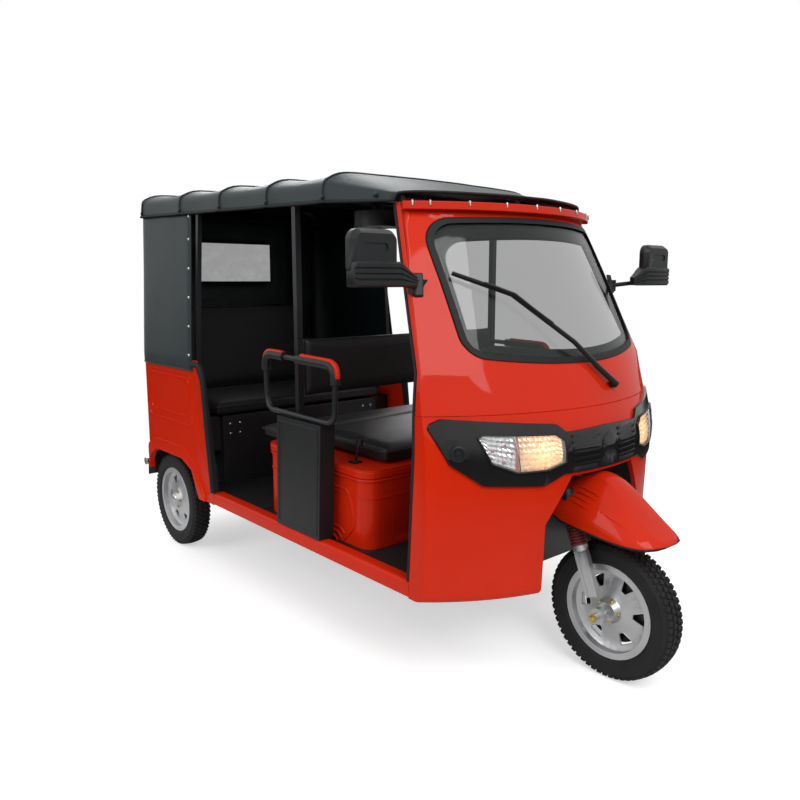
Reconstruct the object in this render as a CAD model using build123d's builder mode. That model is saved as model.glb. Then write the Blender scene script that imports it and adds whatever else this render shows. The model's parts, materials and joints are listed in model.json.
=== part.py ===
from build123d import *
from math import cos, radians, sin, sqrt, tan
import os

os.makedirs("parts", exist_ok=True)

# Three-wheeled passenger auto rickshaw.  Millimetres.  +X forward, +Y left, +Z up.
# The origin is on the ground, midway between the rear bumper and the front tyre.

# ---------------------------------------------------------------- driving dimensions
wheelbase = 2335
rear_axle_x = -1050
track = 1140
tyre_radius = 251
tyre_width = 100
rake_deg = 21            # steering axis, measured back from vertical
fork_offset = 40         # legs ahead of the steering axis
body_half_width = 645
body_wall = 22
sill_top = 405
sill_bottom = 345
belt_z = 1005            # top of the painted rear body
floor_z = 385
floor_sheet = 3
mat_thickness = 4
seam_z = 985             # joint between lower and upper cowl
cowl_wall = 18
roof_half_width = 600
roof_skin = 6
gap = 0.3                # seating clearance between neighbours
running = 0.05           # radial clearance of a shaft in its bore

front_axle_x = rear_axle_x + wheelbase
axle_z = tyre_radius
rake = radians(rake_deg)


def side_plane(y):
    """Plane seen from the right side: local x is X, local y is Z, normal is -Y."""
    return Plane(origin=(0, y, 0), x_dir=(1, 0, 0), z_dir=(0, -1, 0))


def cross_plane(x):
    """Plane across the vehicle: local x is Y, local y is Z, normal is +X."""
    return Plane(origin=(x, 0, 0), x_dir=(0, 1, 0), z_dir=(1, 0, 0))


def level(z):
    """Horizontal plane at height z."""
    return Plane.XY.offset(z)


def axle_plane(centre_x, centre_y):
    """Horizontal plane through an axle: local x is the radius, local y is along the axle."""
    return Plane(origin=(centre_x, centre_y, axle_z), x_dir=(1, 0, 0), z_dir=(0, 0, 1))


def axis_point(height, ahead=0.0, y=0.0):
    """Point at a height on the steering axis, moved square to it by ahead."""
    foot = front_axle_x - fork_offset / cos(rake)
    x = foot - (height - axle_z) * tan(rake)
    return (x + ahead * cos(rake), y, height + ahead * sin(rake))


steer_dir = (-sin(rake), 0, cos(rake))


def steer_plane(height, ahead=0.0, y=0.0):
    """Plane square to the steering axis, local y to the left."""
    return Plane(origin=axis_point(height, ahead, y), x_dir=(cos(rake), 0, sin(rake)), z_dir=steer_dir)


def rod(start, end, radius, mode=Mode.ADD):
    """Round bar from start to end, joined to the open part."""
    path = Vector(*end) - Vector(*start)
    with BuildSketch(Plane(origin=start, z_dir=path)) as section:
        Circle(radius)
    extrude(section.sketch, amount=path.length, mode=mode)


def bar(start, end, width, height, mode=Mode.ADD):
    """Square-cut box bar from start to end; width runs along Y."""
    path = Vector(*end) - Vector(*start)
    across = Vector(0, 1, 0) if abs(path.normalized().Y) < 0.9 else Vector(1, 0, 0)
    with BuildSketch(Plane(origin=start, x_dir=across, z_dir=path)) as section:
        Rectangle(width, height)
    extrude(section.sketch, amount=path.length, mode=mode)


def block(x_range, y_range, z_range, mode=Mode.ADD):
    """Box given by its lowest and highest coordinates."""
    centre = [(low + high) / 2 for low, high in (x_range, y_range, z_range)]
    size = [high - low for low, high in (x_range, y_range, z_range)]
    with Locations(tuple(centre)):
        Box(*size, mode=mode)


def finish(builder, name):
    """Label the finished piece and write it."""
    builder.part.label = name
    export_step(builder.part, f"parts/{name}.step")


# ---------------------------------------------------------------- front cowl surface
# Sections of the nose: height, foremost x, bulge of the front ahead of its side edges, side edge moved inwards,
# rear edge x
cowl_sections = [
    (sill_bottom, 1220, 252, 0, 895),
    (700, 1233, 253, 0, 916),
    (850, 1232, 253, 0, 925),
    (915, 1219, 248, 0, 925),
    (seam_z, 1195, 236, 0, 925),
    (1050, 1169, 221, 4, 924),
    (1125, 1140, 201, 11, 922),
    (1400, 1014, 190, 70, 800),
    (1690, 880, 185, 134, 672),
]


def cowl_at(z):
    """Foremost x, bulge, half width and rear edge of the nose at a height."""
    for low, high in zip(cowl_sections, cowl_sections[1:]):
        if z <= high[0] or high is cowl_sections[-1]:
            share = (z - low[0]) / (high[0] - low[0])
            nose_x, bulge, narrowing, rear_edge = [a + (b - a) * share for a, b in zip(low[1:], high[1:])]
            return nose_x, bulge, body_half_width - narrowing, rear_edge


def arc_radius(half_chord, bulge):
    """Radius of an arc from half its chord and its height."""
    return (half_chord**2 + bulge**2) / (2 * bulge)


def cowl_outline(z, inset, rear_cut=0.0):
    """Plan section of the nose at z, moved inwards by inset."""
    nose_x, bulge, half_width, rear_edge = cowl_at(z)
    radius = arc_radius(half_width, bulge) - inset
    nose_x, half_width = nose_x - inset, half_width - inset
    rear_edge = rear_edge - rear_cut
    tip_x = nose_x - radius + sqrt(radius**2 - half_width**2)
    with BuildSketch(level(z)) as outline:
        with BuildLine():
            ThreePointArc((tip_x, -half_width), (nose_x, 0), (tip_x, half_width))
            Polyline((tip_x, half_width), (rear_edge, half_width), (rear_edge, -half_width),
                     (tip_x, -half_width))
        make_face()
    return outline.sketch


def cowl_loft(levels, inset, rear_cut=0.0, mode=Mode.ADD):
    """Ruled body through the nose sections at the given levels."""
    loft([cowl_outline(z, inset, rear_cut) for z in levels], ruled=True, mode=mode)


def heights(low, high):
    """Low and high with the nose's own section heights between them."""
    return [low, *[section[0] for section in cowl_sections if low < section[0] < high], high]


# ---------------------------------------------------------------- front cowl, lower part
arch_half = 282          # half width of the wheel arch at its foot
arch_shoulder_z = 600
arch_top_half = 180
arch_top_z = 762


def arch_points(grow):
    """Front view of the wheel arch, right foot to left foot."""
    return [(-arch_half - grow, sill_bottom - 40), (-arch_half - grow, arch_shoulder_z),
            (-arch_top_half - grow, arch_top_z + grow), (arch_top_half + grow, arch_top_z + grow),
            (arch_half + grow, arch_shoulder_z), (arch_half + grow, sill_bottom - 40)]


with BuildPart() as front_cowl_lower:
    cowl_loft(heights(sill_bottom, seam_z - gap), 0)
    bottom_rim = front_cowl_lower.edges().group_by(Axis.Z)[0].filter_by(GeomType.CIRCLE)
    fillet(bottom_rim, radius=30)
    cowl_loft(heights(sill_bottom - 20, seam_z), cowl_wall, 60, mode=Mode.SUBTRACT)
    with BuildSketch(cross_plane(900)):
        Polygon(*arch_points(0), align=None)
    extrude(amount=500, mode=Mode.SUBTRACT)
finish(front_cowl_lower, "front_cowl_lower")

# ---------------------------------------------------------------- front cowl, upper part
screen_half_low = 490
screen_half_high = 482
screen_low_z = 1172
screen_low_mid_z = 1135
screen_high_z = 1632
screen_high_mid_z = 1645
screen_corner_low = 75
screen_corner_high = 105
gasket_width = 20
gasket_proud = 5


def screen_outline(shrink):
    """Front view of the windscreen opening, shrunk by a margin."""
    with BuildSketch(cross_plane(600)) as outline:
        with BuildLine():
            low = screen_low_z + shrink
            high = screen_high_z - shrink
            wide_low = screen_half_low - shrink
            wide_high = screen_half_high - shrink
            ThreePointArc((-wide_low, low), (0, screen_low_mid_z + shrink), (wide_low, low))
            Line((wide_low, low), (wide_high, high))
            ThreePointArc((wide_high, high), (0, screen_high_mid_z - shrink), (-wide_high, high))
            Line((-wide_high, high), (-wide_low, low))
        make_face()
        fillet(outline.vertices().sort_by(Axis.Y)[:2], radius=screen_corner_low - shrink)
        fillet(outline.vertices().sort_by(Axis.Y)[-2:], radius=screen_corner_high - shrink)
    return outline.sketch


brow_nose_x = 925
brow_radius = 830
brow_half = 530
brow_z = 1662
header_top = 1690

with BuildPart() as front_cowl_upper:
    cowl_loft(heights(seam_z, header_top), 0)
    cowl_loft(heights(seam_z, header_top - cowl_wall), cowl_wall, 60, mode=Mode.SUBTRACT)
    extrude(screen_outline(0), amount=800, mode=Mode.SUBTRACT)
    tip_x = brow_nose_x - brow_radius + sqrt(brow_radius**2 - brow_half**2)
    with BuildSketch(level(brow_z)):
        with BuildLine():
            ThreePointArc((tip_x, -brow_half), (brow_nose_x, 0), (tip_x, brow_half))
            Polyline((tip_x, brow_half), (690, 500), (690, -500), (tip_x, -brow_half))
        make_face()
        with BuildLine():
            ThreePointArc((684, -480), (870, 0), (684, 480))
            Line((684, 480), (684, -480))
        make_face(mode=Mode.SUBTRACT)
    extrude(amount=header_top - brow_z)
finish(front_cowl_upper, "front_cowl_upper")

# ---------------------------------------------------------------- windscreen
with BuildPart() as windscreen_gasket:
    cowl_loft(heights(seam_z + 60, header_top), -gasket_proud)
    cowl_loft(heights(seam_z + 30, header_top + 10), cowl_wall + 2, 200, mode=Mode.SUBTRACT)
    extrude(screen_outline(gap), amount=800, mode=Mode.INTERSECT)
    extrude(screen_outline(gasket_width), amount=800, mode=Mode.SUBTRACT)
finish(windscreen_gasket, "windscreen_gasket")

with BuildPart() as windscreen_glass:
    cowl_loft(heights(seam_z + 60, header_top), 4)
    cowl_loft(heights(seam_z + 30, header_top + 10), 9, 200, mode=Mode.SUBTRACT)
    extrude(screen_outline(gasket_width + gap), amount=800, mode=Mode.INTERSECT)
finish(windscreen_glass, "windscreen_glass")

# ---------------------------------------------------------------- lamp panel and lamps
lamp_panel_proud = 10
lamp_lens_proud = 16


def nose_slice(points, outset, inset):
    """Layer of the nose surface inside a front-view outline."""
    cowl_loft(heights(710, seam_z - 4), -outset)
    cowl_loft(heights(700, seam_z + 4), inset, 200, mode=Mode.SUBTRACT)
    with BuildSketch(cross_plane(850)) as outline:
        Polygon(*points, align=None)
        fillet(outline.vertices(), radius=panel_corner)
    extrude(outline.sketch, amount=500, mode=Mode.INTERSECT)


panel_half = [(0, 775), (222, 775), (300, 742), (500, 758), (590, 830), (642, 958), (600, 980), (240, 945),
              (205, 915), (0, 921)]
panel_points = panel_half + [(-y, z) for y, z in reversed(panel_half[1:-1])]
panel_corner = 22
lens_points = [(222, 815), (290, 795), (400, 795), (480, 830), (515, 915), (500, 927), (255, 914), (222, 890)]
louvre_z = range(800, 901, 20)
louvre_half = 190
louvre_proud = 14
disc_z = 848
disc_radius = 46
recess_centre = (572, 868)
recess_radius = 20

with BuildPart() as panel_louvres:
    cowl_loft(heights(710, seam_z - 4), -louvre_proud)
    cowl_loft(heights(700, seam_z + 4), -lamp_panel_proud + 2, 200, mode=Mode.SUBTRACT)
    with BuildSketch(cross_plane(850)) as louvre_fronts:
        for z in louvre_z:
            with Locations((0, z)):
                Rectangle(2 * louvre_half, 8)
        with Locations((0, disc_z)):
            Rectangle(2 * disc_radius + 20, 160, mode=Mode.SUBTRACT)
            Circle(disc_radius)
    extrude(louvre_fronts.sketch, amount=500, mode=Mode.INTERSECT)

with BuildPart() as lamp_panel:
    nose_slice(panel_points, lamp_panel_proud, -gap)
    add(panel_louvres.part)
    with BuildSketch(cross_plane(850)) as windows:
        for side in (-1, 1):
            Polygon(*[(side * y, z) for y, z in lens_points], align=None)
            with Locations((side * recess_centre[0], recess_centre[1])):
                Circle(recess_radius)
    extrude(windows.sketch, amount=500, mode=Mode.SUBTRACT)
finish(lamp_panel, "lamp_panel")

with BuildPart() as headlamps:
    cowl_loft(heights(740, 970), -lamp_lens_proud)
    cowl_loft(heights(730, 980), -gap, 200, mode=Mode.SUBTRACT)
    with BuildSketch(cross_plane(850)) as lenses:
        for side in (-1, 1):
            Polygon(*[(side * y, z) for y, z in lens_points], align=None)
        offset(amount=-1, mode=Mode.REPLACE)
    extrude(lenses.sketch, amount=500, mode=Mode.INTERSECT)
finish(headlamps, "headlamps")

# ---------------------------------------------------------------- wheel well behind the cowl
well_back_x = 985
well_wall = 4
head_tube_radius = 26
steer_passage = 42

with BuildPart() as front_wheel_well:
    with BuildSketch(cross_plane(well_back_x)):
        Polygon(*arch_points(well_wall), align=None)
    extrude(amount=300)
    with BuildSketch(cross_plane(well_back_x + well_wall)):
        Polygon(*arch_points(0), align=None)
    extrude(amount=300, mode=Mode.SUBTRACT)
    block((900, 1300), (-400, 400), (250, sill_bottom + 6), mode=Mode.SUBTRACT)
    cowl_loft(heights(sill_bottom - 20, seam_z), cowl_wall + gap, 60, mode=Mode.INTERSECT)
    rod(axis_point(700), axis_point(800), steer_passage, mode=Mode.SUBTRACT)
finish(front_wheel_well, "front_wheel_well")

# ---------------------------------------------------------------- rear body
rear_x = rear_axle_x - 380
rear_corner = 190
door_edge = [(-690, 1035), (-622, 940), (-590, 770), (-530, 410)]
rear_hem_z = floor_z + gap
wheel_arch = [(-672, sill_bottom), (-690, 377), (-745, 479), (-856, 520), (-1174, 520), (-1242, 483),
              (-1290, 430), (-1300, rear_hem_z)]
side_split_y = 420
shoulder_z = 1035
door_front_x = -530
curtain_low = 985
profile_corner = 14
flare_width = 60
flare_height = 9
pressed_frames = [((-1234, 698), (-724, 968)), ((-1208, 742), (-748, 944))]
rib_height = 4
plate_z = 520
plate_spacing = 160      # number-plate bolt holes
plate_hole_radius = 3.5


def rear_plan(inset, front_x):
    """Plan outline of the rear body, moved inwards by inset, running forward to front_x."""
    low_x = rear_x + inset
    half = body_half_width - inset
    corner = rear_corner - inset
    with BuildSketch(Plane.XY) as plan:
        with Locations(((low_x + front_x) / 2, 0)):
            Rectangle(front_x - low_x, 2 * half)
        fillet(plan.vertices().group_by(Axis.X)[0], radius=corner)
    return plan.sketch


def rear_profile():
    """Side view of the rear body, with its door edge and wheel arch."""
    with BuildSketch(side_plane(0)) as profile:
        Polygon((rear_x - 70, rear_hem_z), (rear_x - 70, belt_z), (-745, belt_z), (-715, shoulder_z),
                *door_edge, (door_front_x, sill_bottom), *wheel_arch, align=None)
        corners = [corner for corner in profile.vertices() if corner.Y > rear_hem_z + 5 and corner.X > rear_x]
        fillet(corners, radius=profile_corner)
    return profile.sketch


def wheel_flare():
    """Side view of the raised band round the wheel arch."""
    with BuildSketch(side_plane(0)) as band:
        Polygon((-672, 200), *wheel_arch, (-1300, 200), align=None)
        offset(amount=flare_width)
        Polygon((-672, 200), *wheel_arch, (-1300, 200), align=None, mode=Mode.SUBTRACT)
    return band.sketch & rear_profile()


with BuildPart() as arch_flares:
    extrude(rear_plan(-flare_height, -400).moved(Location((0, 0, sill_bottom))), amount=400)
    extrude(rear_plan(1, -350).moved(Location((0, 0, sill_bottom - 1))), amount=402, mode=Mode.SUBTRACT)
    extrude(wheel_flare(), amount=body_half_width + 60, both=True, mode=Mode.INTERSECT)


def rear_body_piece(name, low_y, high_y, plate_holes=False):
    """One pressed panel of the rear body between two widths."""
    with BuildPart() as piece:
        extrude(rear_plan(0, -400).moved(Location((0, 0, sill_bottom))), amount=700)
        extrude(rear_plan(body_wall, -350).moved(Location((0, 0, sill_bottom - 1))), amount=702,
                mode=Mode.SUBTRACT)
        extrude(rear_profile(), amount=body_half_width + 60, both=True, mode=Mode.INTERSECT)
        add(arch_flares.part)
        for side in (-1, 1):
            for (low_x, low_z), (high_x, high_z) in pressed_frames:
                with BuildSketch(side_plane(side * (body_half_width - 1))) as frame_rib:
                    with Locations(((low_x + high_x) / 2, (low_z + high_z) / 2)):
                        RectangleRounded(high_x - low_x, high_z - low_z, 28)
                        RectangleRounded(high_x - low_x - 18, high_z - low_z - 18, 19, mode=Mode.SUBTRACT)
                extrude(frame_rib.sketch, amount=-side * (rib_height + 1), taper=20)
        block((rear_x - 170, door_front_x), (low_y, high_y), (200, 1200), mode=Mode.INTERSECT)
        if plate_holes:
            for side in (-1, 1):
                hole_start = (rear_x - 5, side * plate_spacing / 2, plate_z)
                hole_end = (rear_x + body_wall + 5, side * plate_spacing / 2, plate_z)
                rod(hole_start, hole_end, plate_hole_radius, mode=Mode.SUBTRACT)
    finish(piece, name)


rear_body_piece("rear_side_right", -700, -side_split_y)
rear_body_piece("rear_side_left", side_split_y, 700)
rear_body_piece("rear_panel", -side_split_y + gap, side_split_y - gap, plate_holes=True)

# ---------------------------------------------------------------- rubber edges of the door openings
seal_reach = 11
seal_lip = 2

with BuildPart() as edge_trims:
    for side in (-1, 1):
        with BuildSketch(side_plane(0)) as door_seal:
            with BuildLine():
                Polyline(*door_edge)
            trace(line_width=2 * seal_reach)
        seal_side = door_seal.sketch - offset(rear_profile(), amount=gap)
        seal_edges = (side * (body_half_width + seal_lip), side * (body_half_width - body_wall - seal_lip))
        near, far = sorted(seal_edges)
        extrude(seal_side.moved(Location((0, far, 0))), amount=far - near)
    block((-800, -400), (-700, 700), (sill_top + gap, curtain_low - gap), mode=Mode.INTERSECT)
with BuildPart() as cowl_trim:
    cowl_loft(heights(sill_top + gap, header_top), -seal_lip, seal_reach)
    cowl_loft(heights(sill_top - 20, header_top + 10), cowl_wall + seal_lip, 60, mode=Mode.SUBTRACT)
    rear_line = [(section[4] - gap, section[0]) for section in cowl_sections]
    with BuildSketch(side_plane(0)) as ahead:
        Polygon((rear_line[0][0], 200), *rear_line, (rear_line[-1][0], 1800), (1500, 1800), (1500, 200),
                align=None)
    extrude(ahead.sketch, amount=700, both=True, mode=Mode.SUBTRACT)
edge_trims.part = edge_trims.part + cowl_trim.part
finish(edge_trims, "edge_trims")

# ---------------------------------------------------------------- sills and floor
sill_width = 60
with BuildPart() as side_sills:
    for side in (-1, 1):
        block((-530 + gap, 895 - gap), sorted((side * body_half_width, side * (body_half_width - sill_width))),
              (sill_bottom, sill_top))
    fillet(side_sills.edges().filter_by(Axis.X).group_by(Axis.Z)[-1], radius=15)
    fillet(side_sills.edges().filter_by(Axis.X).group_by(Axis.Z)[0], radius=10)
finish(side_sills, "side_sills")

floor_half = body_half_width - sill_width - gap
floor_front = well_back_x - gap
seat_box_x = (-180, 550)
seat_box_half = 545
seat_box_top = 705
seat_box_wall = 5
seat_seam_z = 590
engine_x = (-80, 420)
engine_half = 190
engine_z = (240, 630)
neck_x = 952

with BuildPart() as floor_pan:
    block((-690, floor_front), (-floor_half, floor_half), (floor_z, floor_z + floor_sheet))
    block((neck_x - 18 - gap, floor_front), (-22 - gap, 22 + gap), (300, 500), mode=Mode.SUBTRACT)
    block((engine_x[0] - 20, engine_x[1] + 20), (-engine_half - 20, engine_half + 20), (300, 500),
          mode=Mode.SUBTRACT)
finish(floor_pan, "floor_pan")

mat_z = floor_z + floor_sheet
with BuildPart() as floor_mats:
    mat_y = (-floor_half + 4, floor_half - 4)
    block((-672, seat_box_x[0] - 8), mat_y, (mat_z, mat_z + mat_thickness))
    block((seat_box_x[1] + 10, floor_front - 10), mat_y, (mat_z, mat_z + mat_thickness))
    block((neck_x - 22, floor_front), (-26, 26), (300, 500), mode=Mode.SUBTRACT)
finish(floor_mats, "floor_mats")

# ---------------------------------------------------------------- chassis
rail_y = 300
rail_size = (40, 46)
cross_member_x = (-700, -150, 520, 940)
head_low = 790
head_high = 935
stem_radius = 16
tow_x = -1450
tow_z = (360, 372)
tow_radius = 10

with BuildPart() as chassis_frame:
    for side in (-1, 1):
        rail_sides = sorted((side * (rail_y - rail_size[0] / 2), side * (rail_y + rail_size[0] / 2)))
        block((-1395, 960), rail_sides, (floor_z - rail_size[1], floor_z))
    block((-1400, -1360), (-535, 535), (floor_z - 40, floor_z))
    for cross_x in cross_member_x:
        block((cross_x - 20, cross_x + 20), (-floor_half, floor_half), (floor_z - 40, floor_z))
    for side in (-1, 1):
        block((40, 110), sorted((side * (engine_half + gap), side * rail_y)), (floor_z - 36, floor_z - 10))
    block((-1475, -1390), (-35, 35), tow_z)
    rod((tow_x, 0, tow_z[0] - 5), (tow_x, 0, tow_z[1] + 5), tow_radius, mode=Mode.SUBTRACT)
finish(chassis_frame, "chassis_frame")

with BuildPart() as steering_head:
    block((neck_x - 18, neck_x + 18), (-22, 22), (floor_z + gap, head_high - 20))
    rod(axis_point(head_low), axis_point(head_high), head_tube_radius)
    rod(axis_point(head_low - 40), axis_point(head_high + 40), stem_radius + running, mode=Mode.SUBTRACT)
finish(steering_head, "steering_head")

# ---------------------------------------------------------------- engine, axle, springs
with BuildPart() as engine_block:
    block(engine_x, (-engine_half, engine_half), engine_z)
    fillet(engine_block.edges().filter_by(Axis.Z), radius=30)
finish(engine_block, "engine_block")

axle_tube = 32
diff_radius = 95
stub_radius = 15
wheel_y = track / 2
spring_y = rail_y
spring_low = axle_z + axle_tube + gap
spring_high = floor_z - rail_size[1] - gap

with BuildPart() as rear_axle:
    rod((rear_axle_x, -wheel_y + 62, axle_z), (rear_axle_x, wheel_y - 62, axle_z), axle_tube)
    rod((rear_axle_x, -wheel_y - 40, axle_z), (rear_axle_x, wheel_y + 40, axle_z), stub_radius)
    for side in (-1, 1):
        rod((rear_axle_x, side * (wheel_y - 72), axle_z), (rear_axle_x, side * (wheel_y - 60), axle_z), 92)
    with BuildSketch(axle_plane(rear_axle_x, 0)):
        Polygon((0, -90), (60, -80), (diff_radius, -35), (diff_radius, 35), (60, 80), (0, 90), align=None)
    revolve(axis=Axis((rear_axle_x, 0, axle_z), (0, 1, 0)))
    rod((rear_axle_x, 0, axle_z), (engine_x[0] - 2, 0, axle_z + 60), 22)
finish(rear_axle, "rear_axle")

with BuildPart() as leaf_springs:
    for side in (-1, 1):
        with BuildSketch(side_plane(side * spring_y + 25)) as leaf:
            with BuildLine():
                ThreePointArc((rear_axle_x - 345, 326), (rear_axle_x, spring_low), (rear_axle_x + 345, 326))
                Line((rear_axle_x + 345, 326), (rear_axle_x + 345, spring_high))
                ThreePointArc((rear_axle_x + 345, spring_high), (rear_axle_x, spring_low + 24),
                              (rear_axle_x - 345, spring_high))
                Line((rear_axle_x - 345, spring_high), (rear_axle_x - 345, 326))
            make_face()
        extrude(leaf.sketch, amount=50)
finish(leaf_springs, "leaf_springs")

# ---------------------------------------------------------------- rear bumper and lamps
bumper_x = rear_axle_x - 467
bumper_z = 372
with BuildPart() as rear_bumper:
    rod((bumper_x, -575, bumper_z), (bumper_x, 575, bumper_z), 19)
    for side in (-1, 1):
        block((bumper_x, -1400 - gap), sorted((side * 285, side * 315)), (350, 380))
        rod((bumper_x, side * 560, bumper_z), (bumper_x, side * 580, bumper_z), 22)
finish(rear_bumper, "rear_bumper")

with BuildPart() as tail_lamps:
    for side in (-1, 1):
        block((rear_x - 28, rear_x - gap), sorted((side * 300, side * 410)), (640, 830))
    fillet(tail_lamps.edges().group_by(Axis.X)[0], radius=12)
finish(tail_lamps, "tail_lamps")

# ---------------------------------------------------------------- rear bench
bench_front_x = -690
bench_top = 740
inner_half = body_half_width - body_wall - gap
wheel_house_half = 495
with BuildPart() as bench_base:
    block((rear_x + body_wall + 52, bench_front_x), (-wheel_house_half, wheel_house_half),
          (floor_z + gap, bench_top))
    block((rear_x + body_wall + 170, bench_front_x - 40), (-inner_half, inner_half), (560, bench_top))
    block((rear_x + body_wall + 62, bench_front_x - 20), (-wheel_house_half + 12, wheel_house_half - 12),
          (floor_z - 5, bench_top - 12), mode=Mode.SUBTRACT)
finish(bench_base, "bench_base")

with BuildPart() as bench_cushion:
    block((-1290, bench_front_x + 12), (-545, 545), (bench_top + gap, bench_top + 75))
    fillet(bench_cushion.edges().group_by(Axis.Z)[-1], radius=25)
finish(bench_cushion, "bench_cushion")

with BuildPart() as bench_backrest:
    with BuildSketch(side_plane(500)) as side_view:
        Polygon((-1300, bench_top + gap), (-1292, bench_top + 85), (-1325, 1300), (-1395, 1300),
                (-1395, bench_top + gap),
                align=None)
    extrude(side_view.sketch, amount=1000)
finish(bench_backrest, "bench_backrest")

# ---------------------------------------------------------------- driver's seat
with BuildPart() as driver_seat_box:
    block(seat_box_x, (-seat_box_half, seat_box_half), (mat_z + gap, seat_box_top))
    fillet(driver_seat_box.edges().filter_by(Axis.Z), radius=60)
    with BuildSketch(level(seat_box_top - 32)):
        with Locations((sum(seat_box_x) / 2, 0)):
            RectangleRounded(seat_box_x[1] - seat_box_x[0] + 16, 2 * seat_box_half + 16, 68)
    extrude(amount=32)
    with BuildSketch(level(seat_seam_z)):
        with Locations((sum(seat_box_x) / 2, 0)):
            RectangleRounded(seat_box_x[1] - seat_box_x[0] + 7, 2 * seat_box_half + 7, 63)
    extrude(amount=5)
    with BuildSketch(cross_plane(seat_box_x[1] - 1)) as front_pressings:
        with Locations((0, 470)):
            RectangleRounded(620, 120, 25)
            RectangleRounded(600, 100, 16, mode=Mode.SUBTRACT)
        for side in (-1, 1):
            for y in (370, 400, 430):
                with Locations((side * y, 470)):
                    RectangleRounded(12, 90, 5)
    extrude(front_pressings.sketch, amount=5)
    with BuildSketch(level(mat_z - 1)):
        with Locations((sum(seat_box_x) / 2, 0)):
            RectangleRounded(seat_box_x[1] - seat_box_x[0] - 2 * seat_box_wall,
                             2 * seat_box_half - 2 * seat_box_wall, 60 - seat_box_wall)
    extrude(amount=seat_box_top - seat_box_wall - mat_z + 1, mode=Mode.SUBTRACT)
finish(driver_seat_box, "driver_seat_box")

with BuildPart() as driver_cushion:
    block((-50, 530), (-445, 445), (seat_box_top + gap, seat_box_top + 77))
    fillet(driver_cushion.edges().group_by(Axis.Z)[-1], radius=22)
finish(driver_cushion, "driver_cushion")

with BuildPart() as rear_facing_cushion:
    block((-300, -60), (-515, 515), (seat_box_top + gap, seat_box_top + 60))
    fillet(rear_facing_cushion.edges().group_by(Axis.Z)[-1], radius=18)
finish(rear_facing_cushion, "rear_facing_cushion")

# ---------------------------------------------------------------- partition, posts, roof frame
post_x = 145
post_y = 578
post_size = 26
panel_top = 870
with BuildPart() as side_partitions:
    for side in (-1, 1):
        near, far = sorted((side * 575, side * body_half_width))
        with BuildSketch(side_plane(far)) as panel:
            Polygon((52, sill_top + gap), (364, sill_top + gap), (385, panel_top), (73, panel_top), align=None)
        extrude(panel.sketch, amount=far - near)
        outer_face = Location((0, side * body_half_width - far, 0))
        border = offset(panel.sketch, amount=-16) - offset(panel.sketch, amount=-21)
        extrude(border.moved(outer_face), amount=-side * seal_lip)
finish(side_partitions, "side_partitions")

with BuildPart() as mid_backrest:
    backrest_half = post_y - post_size / 2 - gap
    block((post_x - 20, post_x + 25), (-backrest_half, backrest_half), (945, 1195))
    fillet(mid_backrest.edges().filter_by(Axis.Y), radius=14)
finish(mid_backrest, "mid_backrest")

rail_tube = 11
grip_radius = 17
grab_corner = 55
rail_bottom = panel_top + gap + rail_tube
with BuildPart() as grab_rails:
    for side in (-1, 1):
        with BuildLine(side_plane(side * 625)) as loop:
            FilletPolyline((75, rail_bottom), (425, rail_bottom), (500, 1000), (497, 1112), (-35, 1125),
                           (-25, 1020), radius=grab_corner, close=True)
        with BuildSketch(Plane(origin=loop.line @ 0, z_dir=loop.line % 0)) as ring:
            Circle(rail_tube)
        sweep(ring.sketch, path=loop.line)
        for start_x, end_x in ((12, 112), (178, 450)):
            rod((start_x, side * 625, 1124 - start_x / 41), (end_x, side * 625, 1124 - end_x / 41), grip_radius)
finish(grab_rails, "grab_rails")

# Roof sections: x, hem half width, hem height, shoulder height, crown height
roof_sections = [
    (-1440, 560, 1768, 1835, 1872),
    (-1344, roof_half_width, 1760, 1840, 1884),
    (367, roof_half_width, 1708, 1780, 1828),
    (690, 525, 1695, 1722, 1738),
    (900, 505, 1693, 1708, 1720),
]
bow_x = (-1343, -879, -468, -59, 344)     # rear face of each hoop
bow_foot = 14            # hoops start this far above the hem
roof_lean = 8            # sides lean in by this much up to the shoulder


def roof_at(x):
    """Hem half width, hem height, shoulder and crown height of the roof at x."""
    for low, high in zip(roof_sections, roof_sections[1:]):
        if x <= high[0] or high is roof_sections[-1]:
            share = (x - low[0]) / (high[0] - low[0])
            return [a + (b - a) * share for a, b in zip(low[1:], high[1:])]


def roof_outline(x, inset, drop=0.0):
    """Cross section of the roof at x, moved inwards by inset."""
    half, hem, shoulder, crown = roof_at(x)
    half, shoulder, crown = half - inset, shoulder - inset, crown - inset
    foot = half + roof_lean * drop / (shoulder - hem)
    hem = hem - drop
    with BuildSketch(cross_plane(x)) as outline:
        with BuildLine():
            Line((-foot, hem), (-half + roof_lean, shoulder))
            Line((-half + roof_lean, shoulder), (-half + 75, crown - 8))
            ThreePointArc((-half + 75, crown - 8), (0, crown), (half - 75, crown - 8))
            Line((half - 75, crown - 8), (half - roof_lean, shoulder))
            Line((half - roof_lean, shoulder), (foot, hem))
            Line((foot, hem), (-foot, hem))
        make_face()
    return outline.sketch


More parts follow.
